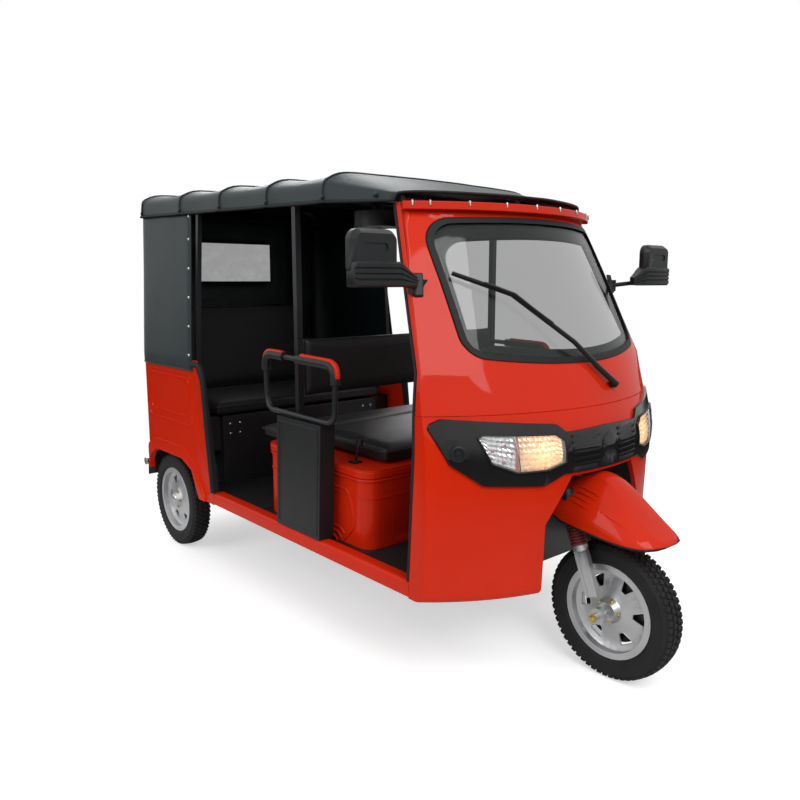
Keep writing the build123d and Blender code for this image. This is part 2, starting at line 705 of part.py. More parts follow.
rail_inset = roof_skin + 0.7
roof_rail_y = roof_half_width - rail_inset - 23
frame_tube = 22
door_post_y = inner_half - frame_tube / 2 - gap
with BuildPart() as roof_frame:
    for x in bow_x:
        bow = roof_outline(x + frame_tube, rail_inset, -bow_foot)
        bow = bow - roof_outline(x + frame_tube, rail_inset + frame_tube)
        extrude(bow.moved(Location((-frame_tube, 0, 0))), amount=frame_tube)
    for side in (-1, 1):
        bar((bow_x[0] - 40, side * 528, 1778), (bow_x[0], side * roof_rail_y, 1777), frame_tube, frame_tube)
        bar((bow_x[0] - 40, 0, 1778), (bow_x[0] - 40, side * 538, 1778), frame_tube, frame_tube)
        bar((bow_x[0], side * roof_rail_y, 1777), (bow_x[-1], side * roof_rail_y, 1724), frame_tube, frame_tube)
        bar((bow_x[-1], side * roof_rail_y, 1724), (690, side * 490, 1702), frame_tube, frame_tube)
        post_sides = sorted((side * (post_y - post_size / 2), side * (post_y + post_size / 2)))
        block((post_x - post_size / 2, post_x + post_size / 2), post_sides, (panel_top + gap, 1720))
        bar((-712, side * door_post_y, 850), (-712, side * door_post_y, belt_z), frame_tube, frame_tube)
        bar((-712, side * door_post_y, belt_z - 5), (-712, side * roof_rail_y, 1750), frame_tube, frame_tube)
        block((-1383, -1361), sorted((side * 509, side * 531)), (floor_z + gap, 1780))
finish(roof_frame, "roof_frame")


def canopy_front(nose_x):
    """Plan of the canopy, ending forwards in the header's curve."""
    with BuildSketch(level(1600)) as plan:
        with BuildLine():
            ThreePointArc((nose_x - 186, -525), (nose_x, 0), (nose_x - 186, 525))
            Polyline((nose_x - 186, 525), (367, 700), (-1500, 700), (-1500, -700), (367, -700),
                     (nose_x - 186, -525))
        make_face()
    return plan.sketch


with BuildPart() as canopy_hollow:
    loft([roof_outline(x, roof_skin, 5) for x in (-1430, -1344, 367, 690, 900)], ruled=True)
    extrude(canopy_front(868 - roof_skin), amount=400, mode=Mode.INTERSECT)

with BuildPart() as canopy_cover:
    loft([roof_outline(x, 0) for x in (-1440, -1344, 367, 690, 900)], ruled=True)
    extrude(canopy_front(868), amount=400, mode=Mode.INTERSECT)
    add(canopy_hollow.part, mode=Mode.SUBTRACT)
finish(canopy_cover, "canopy_cover")

# ---------------------------------------------------------------- curtains
curtain_front = -700
curtain_thickness = 5
window_half = 250
window_z = (1415, 1645)
# Inside of the curtains: height, half width, rear x, corner radius
curtain_levels = [
    (curtain_low, body_half_width + gap, rear_x - gap, rear_corner + gap),
    (shoulder_z + 2, body_half_width + gap, rear_x - gap, rear_corner + gap),
    (1790, 583, -1421.8, 98),
]


def curtain_plan(level_values, outset, front_x):
    """Plan of the curtains at one height, moved outwards by outset."""
    z, half, back_x, corner = level_values
    reach = (corner + outset) / cos(radians(7.5))
    left_edge = [(back_x + corner - reach * cos(radians(turn)), half - corner + reach * sin(radians(turn)))
                 for turn in (82.5, 67.5, 52.5, 37.5, 22.5, 7.5)]
    left_edge = [(front_x, half + outset)] + left_edge
    with BuildSketch(level(z)) as plan:
        Polygon(*left_edge, *[(x, -y) for x, y in reversed(left_edge)], align=None)
    return plan.sketch


def curtain_piece(name, low_y, high_y, window=False):
    """The part of the curtain wall between two widths, on both sides alike."""
    with BuildPart() as piece:
        loft([curtain_plan(values, curtain_thickness, curtain_front) for values in curtain_levels], ruled=True)
        loft([curtain_plan(values, 0, curtain_front + 100) for values in curtain_levels], ruled=True,
             mode=Mode.SUBTRACT)
        with BuildSketch(side_plane(0)) as height_limit:
            Polygon((-1500, 900), (-1500, 1784), (-1344, 1772), (-690, 1752), (-690, 900), align=None)
        extrude(height_limit.sketch, amount=700, both=True, mode=Mode.INTERSECT)
        block((-1500, -600), (-high_y, high_y), (900, 1900), mode=Mode.INTERSECT)
        if low_y:
            block((-1500, -600), (-low_y, low_y), (900, 1900), mode=Mode.SUBTRACT)
        if window:
            block((-1500, -1300), (-window_half, window_half), window_z, mode=Mode.SUBTRACT)
    finish(piece, name)


curtain_piece("side_curtains", side_split_y, 700)
curtain_piece("rear_curtain", 0, side_split_y - gap, window=True)

with BuildPart() as rear_window_film:
    block((-1428, -1426), (-window_half + gap, window_half - gap), (window_z[0] + gap, window_z[1] - gap))
finish(rear_window_film, "rear_window_film")

# ---------------------------------------------------------------- small fixed pieces
mirror_x = 885
mirror_y = 798
mirror_z = 1500
mirror_half = 91
with BuildPart() as mirrors:
    for side in (-1, 1):
        with BuildSketch(cross_plane(mirror_x)) as head:
            with Locations((side * mirror_y, mirror_z)):
                RectangleRounded(2 * mirror_half, 150, 36)
        extrude(head.sketch, amount=20)
        extrude(head.sketch.moved(Location((20, 0, 0))), amount=20, taper=35)
        with BuildSketch(cross_plane(mirror_x + 36)) as pill:
            with Locations((side * (mirror_y + 5), mirror_z + 20)):
                SlotOverall(96, 26)
        extrude(pill.sketch, amount=20, mode=Mode.SUBTRACT)
        for band_z in (1410, 1417, 1424):
            block((mirror_x + 2, mirror_x + 28), sorted((side * 715, side * 850)), (band_z - 3, band_z + 2))
        block((mirror_x + 5, mirror_x + 25), sorted((side * 715, side * 845)), (1407, 1430))
        rod((838, side * 562, 1400), (mirror_x + 14, side * 728, 1417), 9)
        block((826, 850), sorted((side * 515, side * 590)), (1376, 1424))
    cowl_loft(heights(1125, header_top), -2 * gap, 300, mode=Mode.SUBTRACT)
finish(mirrors, "mirrors")

with BuildPart() as wiper:
    rod((1120, 100, 1040), (1190, 100, 1050), 12)
    rod((1184, 100, 1046), (1135, -90, 1207), 5)
    rod((1135, -90, 1207), (1014, -280, 1369), 5)
    rod((1014, -280, 1369), (895, -455, 1442), 4)
    cowl_loft(heights(900, header_top), -gasket_proud - gap, 100, mode=Mode.SUBTRACT)
    rod((1120, 100, 1040), (1185, 100, 1050), 13)
    cowl_loft(heights(900, 1120), -gap, 100, mode=Mode.SUBTRACT)
finish(wiper, "wiper")

with BuildPart() as dashboard:
    cowl_loft((seam_z + gap, 1012), cowl_wall + gap)
    block((1012, 1300), (-430, 430), (980, 1060), mode=Mode.INTERSECT)
finish(dashboard, "dashboard")

with BuildPart() as gear_lever:
    rod((400, -490, seat_box_top + 3), (430, -490, 790), 5)
    rod((427, -490, 782), (437, -490, 812), 14)
    block((380, 420), (-510, -470), (seat_box_top + gap, seat_box_top + 8))
finish(gear_lever, "gear_lever")

with BuildPart() as brake_pedal:
    rod((850, -200, mat_z + mat_thickness + 3), (880, -200, 470), 7)
    block((835, 865), (-215, -185), (mat_z + mat_thickness + gap, mat_z + mat_thickness + 6))
    block((868, 892), (-235, -165), (465, 480))
finish(brake_pedal, "brake_pedal")

# ---------------------------------------------------------------- ceiling fan
fan_centre = (355, -330, 1660)
fan_hanger_top = 1795.1
fan_spindle = 6
with BuildPart() as ceiling_fan:
    with BuildSketch(level(fan_centre[2] + 30)):
        with Locations(fan_centre[:2]):
            Circle(20)
    extrude(amount=fan_hanger_top - fan_centre[2] - 30)
    with BuildSketch(level(fan_centre[2] - 30)):
        with Locations(fan_centre[:2]):
            Circle(95)
            Circle(90, mode=Mode.SUBTRACT)
    extrude(amount=60)
    block((fan_centre[0] - 93, fan_centre[0] + 93), (fan_centre[1] - 4, fan_centre[1] + 4),
          (fan_centre[2] + 18, fan_centre[2] + 30))
    rod((*fan_centre[:2], fan_centre[2] - 5), (*fan_centre[:2], fan_centre[2] + 30), 24)
    rod((*fan_centre[:2], fan_centre[2] - 24), fan_centre, fan_spindle)
finish(ceiling_fan, "ceiling_fan")

with BuildPart() as fan_blades:
    with BuildSketch(level(fan_centre[2] - 20)):
        with Locations(fan_centre[:2]):
            Circle(14)
            with PolarLocations(45, 4):
                Rectangle(76, 34)
        with Locations(fan_centre[:2]):
            Circle(fan_spindle + running, mode=Mode.SUBTRACT)
    extrude(amount=10)
finish(fan_blades, "fan_blades")

# ---------------------------------------------------------------- steering
leg_y = 92
leg_radius = 16
leg_half = 11
boot_z = (546, 606)
collar_radius = 25
foot_radius = 29
leg_outline = [(515, -22), (515, 22), (430, 27), (300, 24), (300, -24), (430, -27)]
axle_radius = 8
crown_z = 640

with BuildPart() as fork:
    with BuildSketch(steer_plane(crown_z)):
        with Locations((fork_offset / 2, 0)):
            RectangleRounded(fork_offset + 60, 2 * leg_y + 50, 24)
    extrude(amount=24)
    rod(axis_point(crown_z), axis_point(1035), stem_radius)
    for side in (-1, 1):
        collar_foot, collar_top = [axis_point(z, fork_offset, side * leg_y) for z in (505, boot_z[0] - 1)]
        rod(collar_top, axis_point(crown_z + 5, fork_offset, side * leg_y), leg_radius)
        rod(collar_foot, collar_top, collar_radius)
        near, far = sorted((side * (leg_y - leg_half), side * (leg_y + leg_half)))
        with BuildSketch(side_plane(far)) as leg:
            Polygon(*[axis_point(z, fork_offset + ahead)[::2] for z, ahead in leg_outline], align=None)
            with Locations((front_axle_x, axle_z)):
                Circle(foot_radius)
        extrude(leg.sketch, amount=far - near)
        with BuildSketch(side_plane(side * (leg_y + leg_half))) as recess:
            Polygon(*[axis_point(z, fork_offset + ahead * 0.6)[::2] for z, ahead in leg_outline], align=None)
            with Locations((front_axle_x, axle_z)):
                Circle(foot_radius - 1, mode=Mode.SUBTRACT)
        extrude(recess.sketch, amount=side * 4, mode=Mode.SUBTRACT)
    rod((front_axle_x, -130, axle_z), (front_axle_x, 130, axle_z), axle_radius + gap, mode=Mode.SUBTRACT)
finish(fork, "fork")

boot_radius = 25
with BuildPart() as fork_boots:
    for side in (-1, 1):
        boot_foot, boot_top = [axis_point(z, fork_offset, side * leg_y) for z in boot_z]
        rod(boot_foot, boot_top, boot_radius)
        rod(boot_foot, boot_top, leg_radius + gap, mode=Mode.SUBTRACT)
finish(fork_boots, "fork_boots")

with BuildPart() as front_axle:
    rod((front_axle_x, -leg_y - 34, axle_z), (front_axle_x, leg_y + 34, axle_z), axle_radius)
    for side in (-1, 1):
        nut_y = side * (leg_y + leg_half + gap)
        rod((front_axle_x, nut_y, axle_z), (front_axle_x, side * (leg_y + 34), axle_z), 13)
finish(front_axle, "front_axle")

# Mudguard sections: x, edge half width, crown half width, edge z, crown z
fender_sections = [
    (1075, 118, 60, 595, 690),
    (1130, 126, 52, 568, 722),
    (1190, 130, 42, 562, 746),
    (1250, 132, 40, 556, 757),
    (1310, 132, 52, 548, 735),
    (1368, 131, 70, 543, 693),
    (1446, 117, 80, 539, 634),
    (1488, 87, 60, 541, 588),
    (1514, 46, 30, 546, 563),
]
fender_skin = 4


def fender_outline(section, inset, drop=0.0):
    """Cross section of the mudguard: x, edge half width, top half width, edge and top heights."""
    x, edge, top, low, high = section
    edge, top, high = edge - inset, top - inset, high - inset
    low = low - drop
    side_step = (high - low) * 0.3
    with BuildSketch(cross_plane(x)) as outline:
        right_side = [(edge, low), (edge, low + side_step), (top, high - side_step * 0.3),
                      (top * 0.55, high - side_step * 0.09), (0, high)]
        with BuildLine():
            Polyline(*right_side, *[(-y, z) for y, z in right_side[-2::-1]], close=True)
        make_face()
    return outline.sketch


with BuildPart() as front_fender:
    loft([fender_outline(section, 0) for section in fender_sections], ruled=True)
    inner_sections = [(x - fender_skin, *sizes) for x, *sizes in fender_sections]
    loft([fender_outline(section, fender_skin, 3) for section in inner_sections], ruled=True,
         mode=Mode.SUBTRACT)
    with BuildSketch(steer_plane(crown_z - 2 * gap)) as notch:
        with Locations((fork_offset / 2, 0)):
            Rectangle(fork_offset + 61, 2 * leg_y + 51)
    extrude(notch.sketch, amount=25.5, mode=Mode.SUBTRACT)
    for side in (-1, 1):
        rod(axis_point(540, fork_offset, side * leg_y), axis_point(crown_z + 5, fork_offset, side * leg_y),
            boot_radius + gap, mode=Mode.SUBTRACT)
    rod(axis_point(crown_z), axis_point(760), stem_radius + gap, mode=Mode.SUBTRACT)
finish(front_fender, "front_fender")

with BuildPart() as handlebar:
    bar_height = 1052
    hub = axis_point(bar_height)
    rod(axis_point(1035 + gap), axis_point(1075), 24)
    for side in (-1, 1):
        rod(hub, (hub[0] - 30, side * 140, bar_height + 20), 11)
        grip_start = (hub[0] - 58, side * 190, bar_height + 16)
        grip_end = (hub[0] - 110, side * 280, bar_height + 10)
        rod((hub[0] - 30, side * 140, bar_height + 20), grip_end, 11)
        rod(grip_start, grip_end, 17)
        rod((grip_start[0] + 22, side * 172, grip_start[2]), (grip_end[0] + 40, side * 290, grip_end[2] - 4), 5)
        rod((hub[0] - 40, side * 155, bar_height + 19), (hub[0] - 18, side * 165, bar_height + 17), 14)
    rod((hub[0] - 6, -62, bar_height + 34), (hub[0] - 6, 62, bar_height + 34), 30)
finish(handlebar, "handlebar")

# ---------------------------------------------------------------- wheels
bead_radius = 157
bead_half = 38
flange_radius = 173
vent_count = 6
vent_corner = 6


def tyre(name, centre_x, centre_y):
    """Solid ring of the tyre section, turned about its axle."""
    half = tyre_width / 2
    seat = bead_radius + gap
    bead = bead_half - gap
    with BuildPart() as ring:
        with BuildSketch(axle_plane(centre_x, centre_y)):
            right_half = [(seat, 0), (seat, bead), (flange_radius + 1, bead), (flange_radius + 2, half - 4),
                          (tyre_radius - 46, half), (tyre_radius - 21, half - 3), (tyre_radius - 6, half - 13),
                          (tyre_radius - 1, half - 26), (tyre_radius, half - 40)]
            Polygon(*right_half, *[(radius, -across) for radius, across in right_half[:0:-1]], align=None)
        revolve(axis=Axis((centre_x, centre_y, axle_z), (0, 1, 0)))
    finish(ring, name)


def rim(name, centre_x, centre_y, outward, bore):
    """Pressed steel wheel: flanged well, vented disc and hub, its face turned outward."""
    section = [(150, 42), (flange_radius, 42), (flange_radius, bead_half), (bead_radius, bead_half),
               (bead_radius, -bead_half), (flange_radius, -bead_half), (flange_radius, -42), (150, -42),
               (150, 8),
               (122, -2), (64, 10), (34, 4), (34, -44), (bore, -44), (bore, 46), (34, 46), (48, 22), (64, 17),
               (122, 5), (150, 16)]
    with BuildPart() as wheel:
        with BuildSketch(axle_plane(centre_x, centre_y)):
            Polygon(*[(radius, outward * across) for radius, across in section], align=None)
        revolve(axis=Axis((centre_x, centre_y, axle_z), (0, 1, 0)))
        with BuildSketch(side_plane(centre_y + 40)) as vents:
            with Locations((centre_x, axle_z)):
                with PolarLocations(0, vent_count):
                    Polygon((84, -9), (84, 9), (130, 28), (130, -28), align=None)
            fillet(vents.vertices(), radius=vent_corner)
        extrude(vents.sketch, amount=80, mode=Mode.SUBTRACT)
    finish(wheel, name)


tyre("front_tyre", front_axle_x, 0)
rim("front_rim", front_axle_x, 0, -1, axle_radius + running)
for side, name in ((-1, "right"), (1, "left")):
    tyre(f"rear_tyre_{name}", rear_axle_x, side * wheel_y)
    rim(f"rear_rim_{name}", rear_axle_x, side * wheel_y, side, stub_radius + running)
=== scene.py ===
# %% [markdown]
# # Auto rickshaw
# A three-wheeled passenger taxi: a pressed steel nose with a raked windscreen, an open cabin under a
# vinyl canopy on steel hoops, bench seats, and a steered front wheel under a beak-shaped mudguard.
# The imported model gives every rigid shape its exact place.  The cells below give the shapes their
# finishes, and add what a press, a sewing machine and an assembly line would add.

# %% The frame
import json
from math import cos, hypot, pi, radians, sin, sqrt

import bmesh
import bpy
from mathutils import Matrix, Vector, noise
from mathutils.bvhtree import BVHTree


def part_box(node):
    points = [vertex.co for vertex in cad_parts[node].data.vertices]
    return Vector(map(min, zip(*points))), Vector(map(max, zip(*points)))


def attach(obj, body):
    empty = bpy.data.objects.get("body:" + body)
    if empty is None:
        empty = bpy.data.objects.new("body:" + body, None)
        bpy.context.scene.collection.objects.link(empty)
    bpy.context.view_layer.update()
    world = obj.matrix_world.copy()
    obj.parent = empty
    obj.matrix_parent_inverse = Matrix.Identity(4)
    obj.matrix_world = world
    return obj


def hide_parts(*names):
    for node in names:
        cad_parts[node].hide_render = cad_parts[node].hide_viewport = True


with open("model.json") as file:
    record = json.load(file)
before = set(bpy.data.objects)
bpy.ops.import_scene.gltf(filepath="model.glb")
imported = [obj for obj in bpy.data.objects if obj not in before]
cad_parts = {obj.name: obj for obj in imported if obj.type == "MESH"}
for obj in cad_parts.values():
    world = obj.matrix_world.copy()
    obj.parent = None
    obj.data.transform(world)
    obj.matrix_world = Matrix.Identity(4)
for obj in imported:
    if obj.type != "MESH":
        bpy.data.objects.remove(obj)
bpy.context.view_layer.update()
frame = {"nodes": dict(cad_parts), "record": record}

scene = bpy.context.scene
scene.view_settings.view_transform = "Standard"
slot_of = {row["node"]: row["material_slot"] for row in frame["record"]["subparts"]}
body_of = {node: body for body, nodes in frame["record"]["behaviour"]["bodies"].items() for node in nodes}

# %% [markdown]
# ## Camera
# The camera stands at eye height, ahead of the right front corner.  A focal length and a direction
# given as yaw and pitch are easier to correct than a target point, because each changes one thing.

# %% Camera
camera_data = bpy.data.cameras.new("camera")
camera_data.lens = 33.45
camera_data.sensor_width = 36
camera = bpy.data.objects.new("camera", camera_data)
scene.collection.objects.link(camera)
yaw, pitch = radians(139.133), radians(-9.076)
view_direction = Vector((cos(pitch) * cos(yaw), cos(pitch) * sin(yaw), sin(pitch)))
camera.location = (2.6973, -2.2417, 1.4184)
camera.rotation_euler = view_direction.to_track_quat("-Z", "Y").to_euler()
scene.camera = camera
print("camera at", [round(value, 3) for value in camera.location])

# %% [markdown]
# ## Floor and light
# A pale floor takes the shadow, and a white world lights every side evenly.  To the camera, to
# mirrors and through glass the world is plain white, while the strength that falls on the paint is
# lower, so that colours render about as they are written.


# %% Shader nodes in one line each
def set_inputs(tree, node, inputs):
    """Fill a node's inputs: an output of another node is linked, anything else is a constant."""
    for socket, value in inputs.items():
        if isinstance(value, bpy.types.NodeSocket):
            tree.links.new(value, node.inputs[socket])
        else:
            node.inputs[socket].default_value = value


def add_node(tree, kind, inputs, operation=None):
    """New shader node with its inputs, and its operation where it has one."""
    node = tree.nodes.new("ShaderNode" + kind)
    if operation:
        node.operation = operation
    set_inputs(tree, node, inputs)
    return node


# %% World
light_on_paint = 0.42
world = bpy.data.worlds.new("studio")
world.use_nodes = True
scene.world = world
tree = world.node_tree
rays = add_node(tree, "LightPath", {}).outputs
through_glass = add_node(tree, "Math", {0: rays["Is Camera Ray"], 1: rays["Is Transmission Ray"]}, "MAXIMUM")
sees_white = add_node(tree, "Math", {0: through_glass.outputs[0], 1: rays["Is Glossy Ray"]}, "MAXIMUM")
strength = add_node(tree, "MapRange", {"Value": sees_white.outputs[0], "To Min": light_on_paint,
                                       "To Max": 1.0})
set_inputs(tree, tree.nodes["Background"], {"Color": (1, 1, 1, 1), "Strength": strength.outputs["Result"]})
print("world nodes:", len(tree.nodes))


# %% Lamps
def area_light(name, place, aim, size, energy):
    """Square soft lamp at place, turned towards aim."""
    lamp = bpy.data.lights.new(name, "AREA")
    lamp.energy = energy
    lamp.size = size
    holder = bpy.data.objects.new(name, lamp)
    holder.location = place
    holder.rotation_euler = (Vector(aim) - Vector(place)).to_track_quat("-Z", "Y").to_euler()
    scene.collection.objects.link(holder)


area_light("hall_front", (4.5, -1.5, 4.2), (0.6, 0, 0.9), 3.0, 150)
area_light("hall_side", (-0.5, -5.0, 3.4), (0, 0, 0.8), 3.0, 70)
area_light("hall_rear", (-4.5, 2.5, 4.0), (-0.6, 0, 0.9), 3.0, 120)
print("lamps:", len(bpy.data.lights))

# %% [markdown]
# The floor is grey near the wheels, where it takes the shadow, and fades to the white of the world
# farther out.  Its own light is added for the camera only, so it doesn't light the underside.

# %% Floor
floor_half = 30
fade_start, fade_end = 1.6, 4.2
near_grey, near_lift = 0.86, 0.52
floor_mesh = bpy.data.meshes.new("floor")
floor_corners = [(-floor_half, -floor_half, 0), (floor_half, -floor_half, 0), (floor_half, floor_half, 0),
                 (-floor_half, floor_half, 0)]
floor_mesh.from_pydata(floor_corners, [], [(0, 1, 2, 3)])
floor = bpy.data.objects.new("floor", floor_mesh)
scene.collection.objects.link(floor)
floor_finish = bpy.data.materials.new("floor")
floor_finish.use_nodes = True
tree = floor_finish.node_tree
place = add_node(tree, "TexCoord", {}).outputs["Object"]
reach = add_node(tree, "VectorMath", {0: place}, "LENGTH").outputs["Value"]
fade = add_node(tree, "MapRange", {"Value": reach, "From Min": fade_start, "From Max": fade_end})
fade.interpolation_type = "SMOOTHSTEP"
farness = fade.outputs["Result"]
paleness = add_node(tree, "MapRange", {"Value": farness, "To Min": near_grey, "To Max": 0.0})
lift = add_node(tree, "MapRange", {"Value": farness, "To Min": near_lift, "To Max": 1.0})
to_camera = add_node(tree, "LightPath", {}).outputs["Is Camera Ray"]
seen_lift = add_node(tree, "Math", {0: to_camera, 1: lift.outputs["Result"]}, "MULTIPLY")
set_inputs(tree, tree.nodes["Principled BSDF"], {
    "Base Color": paleness.outputs["Result"], "Roughness": 0.9, "Specular IOR Level": 0,
    "Emission Color": (1, 1, 1, 1), "Emission Strength": seen_lift.outputs[0]})
floor_mesh.materials.append(floor_finish)
print("floor nodes:", len(tree.nodes))

# %% [markdown]
# ## Finishes
# Every finish is one Principled shader fed by small procedural patterns on Object coordinates, so a
# pattern stays where it is on the part.  A coarse noise varies the colour and the gloss a little, as
# dust and handling do, and a fine pattern lifts or sinks the surface: orange peel in paint, grain in
# moulded plastic, weave in cloth.

# %% One helper for all finishes
# Each fine pattern is a texture and the output that serves as its height.
fine_patterns = {"noise": ("TexNoise", "Fac"), "cells": ("TexVoronoi", "Distance"),
                 "weave": ("TexMagic", "Fac")}


def finish(name, colour, roughness, metallic=0.0, coat=0.0, stain=(3.0, 0.12), gloss_noise=0.06,
           grain=(900.0, 0.1, 0.0004), pattern="noise", specular=0.5, alpha=1.0, sheen=0.0):
    """Principled material: stain is (scale, share), grain is (scale, strength, depth in metres)."""
    material = bpy.data.materials.new(name)
    material.use_nodes = True
    tree = material.node_tree
    place = add_node(tree, "TexCoord", {}).outputs["Object"]
    coarse = add_node(tree, "TexNoise", {"Scale": stain[0], "Detail": 5, "Vector": place}).outputs["Fac"]
    ramp = add_node(tree, "ValToRGB", {"Fac": coarse})
    for stop, position, share in zip(ramp.color_ramp.elements, (0.3, 0.7), (1 - stain[1], 1 + stain[1])):
        stop.position = position
        stop.color = (*[min(1, channel * share) for channel in colour], 1)
    gloss = add_node(tree, "MapRange", {"Value": coarse, "To Min": max(0.02, roughness - gloss_noise),
                                        "To Max": roughness + gloss_noise})
    texture, height = fine_patterns[pattern]
    fine = add_node(tree, texture, {"Scale": grain[0], "Vector": place})
    if pattern == "weave":
        fine.turbulence_depth = 0
    bump = add_node(tree, "Bump", {"Strength": grain[1], "Distance": grain[2],
                                   "Height": fine.outputs[height]})
    set_inputs(tree, tree.nodes["Principled BSDF"], {
        "Base Color": ramp.outputs["Color"], "Roughness": gloss.outputs["Result"],
        "Normal": bump.outputs["Normal"], "Metallic": metallic, "Coat Weight": coat, "Coat Roughness": 0.05,
        "Specular IOR Level": specular, "Sheen Weight": sheen, "Alpha": alpha})
    return material


# %% Paint and metal
finishes = {
    "body_paint": finish("red_gloss_paint", (0.70, 0.024, 0.004), 0.50, coat=0.30, specular=0.04,
                         stain=(2.0, 0.06), gloss_noise=0.04, grain=(160.0, 0.12, 0.0004)),
    "black_metal": finish("black_enamel", (0.014, 0.015, 0.017), 0.38, coat=0.1, specular=0.3,
                          grain=(300.0, 0.15, 0.0005)),
    "engine_metal": finish("cast_metal", (0.16, 0.16, 0.165), 0.55, metallic=0.8, grain=(500.0, 0.4, 0.001)),
    "bright_steel": finish("bright_steel", (0.60, 0.60, 0.59), 0.24, metallic=1.0,
                           grain=(700.0, 0.12, 0.0004)),
    "rim_silver": finish("silver_lacquer", (0.52, 0.53, 0.54), 0.33, metallic=0.75, coat=0.4,
                         stain=(9.0, 0.10), grain=(420.0, 0.18, 0.0004)),
    "zinc": finish("yellow_zinc", (0.62, 0.45, 0.16), 0.3, metallic=1.0),
    "reflector": finish("faceted_chrome", (0.80, 0.81, 0.82), 0.08, metallic=1.0, gloss_noise=0.03,
                        grain=(120.0, 0.2, 0.001)),
    "mirror": finish("mirror_glass", (0.85, 0.86, 0.87), 0.03, metallic=1.0, gloss_noise=0.01,
                     grain=(5.0, 0.02, 0.0003)),
}
print("metal finishes:", sorted(finishes))

# %% Rubber, plastic and vinyl
finishes.update({
    "black_plastic": finish("moulded_black", (0.011, 0.012, 0.013), 0.42, specular=0.3, pattern="cells",
                            grain=(900.0, 0.25, 0.0004)),
    "gloss_black": finish("gloss_black", (0.010, 0.010, 0.011), 0.20, specular=0.4,
                          grain=(500.0, 0.1, 0.0003)),
    "black_rubber": finish("edge_rubber", (0.008, 0.008, 0.009), 0.6, specular=0.25,
                           grain=(700.0, 0.2, 0.0005)),
    "boot": finish("oxblood_rubber", (0.16, 0.018, 0.014), 0.42, grain=(500.0, 0.2, 0.0005)),
    "tyre_rubber": finish("tyre_rubber", (0.014, 0.014, 0.014), 0.68, specular=0.25, stain=(14.0, 0.25),
                          grain=(260.0, 0.3, 0.0008)),
    "seat_vinyl": finish("seat_vinyl", (0.009, 0.009, 0.010), 0.44, specular=0.3, pattern="cells", sheen=0.03,
                         grain=(420.0, 0.45, 0.0009)),
    "canopy_vinyl": finish("canopy_vinyl", (0.007, 0.017, 0.020), 0.44, specular=0.3, pattern="weave",
                           sheen=0.03, stain=(5.0, 0.16), grain=(900.0, 0.35, 0.0006)),
    "thread": finish("grey_thread", (0.09, 0.09, 0.10), 0.7, grain=(2500.0, 0.4, 0.0003)),
    "fan_plastic": finish("pale_grey_plastic", (0.42, 0.44, 0.46), 0.4),
})
print("opaque finishes:", len(finishes))

# %% [markdown]
# Glass is a thin dark gloss with a low alpha instead of a refracting volume: the export keeps alpha,
# and one thin pane bends light too little to see.

# %% Glass and lenses
finishes.update({
    "windscreen": finish("tinted_glass", (0.02, 0.025, 0.024), 0.03, gloss_noise=0.01, alpha=0.42,
                         grain=(6.0, 0.02, 0.0004)),
    # Black edge inside the windscreen. Its wide top band stands partly for thick rubber and partly is painted
    # shade of the dark cabin roof seen through the glass.
    "edge_painted_shade": finish("black_edge_painted_shade", (0.006, 0.006, 0.006), 0.30, specular=0.3, gloss_noise=0.02,
                   grain=(40.0, 0.02, 0.0002)),
    "clear_lens": finish("clear_lens", (0.75, 0.76, 0.76), 0.04, gloss_noise=0.01, alpha=0.16,
                         grain=(90.0, 0.1, 0.0006)),
    "clear_film": finish("soft_film", (0.26, 0.27, 0.28), 0.10, alpha=0.46, stain=(3.2, 0.9),
                         grain=(5.0, 0.8, 0.05)),
    "red_lens": finish("red_lens", (0.45, 0.012, 0.008), 0.12, coat=0.6, pattern="cells",
                       grain=(160.0, 0.5, 0.0012)),
})
print("finishes in all:", len(finishes))

# %% [markdown]
# ## Pressed and welded parts
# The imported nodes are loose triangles.  A copy of each is merged into one skin, flat regions are
# dissolved into whole faces, and a small bevel rounds the corners that a press or a weld would round,
# so that every edge catches a line of light.


# %% Meshes and objects
def new_object(name, mesh):
    """Object for a mesh, linked to the scene."""
    piece = bpy.data.objects.new(name, mesh)
    scene.collection.objects.link(piece)
    return piece


def mesh_of(work, name):
    """Mesh written from a bmesh, which is freed."""
    mesh = bpy.data.meshes.new(name)
    work.to_mesh(mesh)
    work.free()
    return mesh


def merged_copy(node):
    """New object with the node's triangles joined and its flat faces whole."""
    work = bmesh.new()
    work.from_mesh(frame["nodes"][node].data)
    bmesh.ops.remove_doubles(work, verts=work.verts, dist=2e-5)
    bmesh.ops.dissolve_limit(work, angle_limit=radians(0.3), verts=work.verts, edges=work.edges)
    return new_object(node + "_skin", mesh_of(work, node + "_skin"))


# %% Shading, finish, bevel and wall
def smooth_by_angle(mesh, angle):
    """Smooth shading, with edges sharper than the angle left crisp."""
    mesh.shade_smooth()
    mesh.set_sharp_from_angle(angle=radians(angle))


def dress(piece, look, body="body", slot=None, node=None):
    """Give a finished piece its look and its body, and hide the node that it stands for."""
    piece.data.materials.clear()
    piece.data.materials.append(finishes[look])
    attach(piece, body)
    if node:
        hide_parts(node)
        slot = slot or slot_of[node]
    slot = slot or look
    return piece


def bevelled(piece, width, segments=2):
    """Round the edges of a piece that are sharper than 35 degrees."""
    bevel = piece.modifiers.new("round", "BEVEL")
    bevel.width = width
    bevel.segments = segments
    bevel.limit_method = "ANGLE"
    bevel.angle_limit = radians(35)
    bevel.harden_normals = True
    bevel.use_clamp_overlap = True


def walled(piece, thickness, offset=0):
    """Give a sheet its thickness: inwards at offset -1, outwards at 1, both ways at 0."""
    wall = piece.modifiers.new("wall", "SOLIDIFY")
    wall.thickness = thickness
    wall.offset = offset


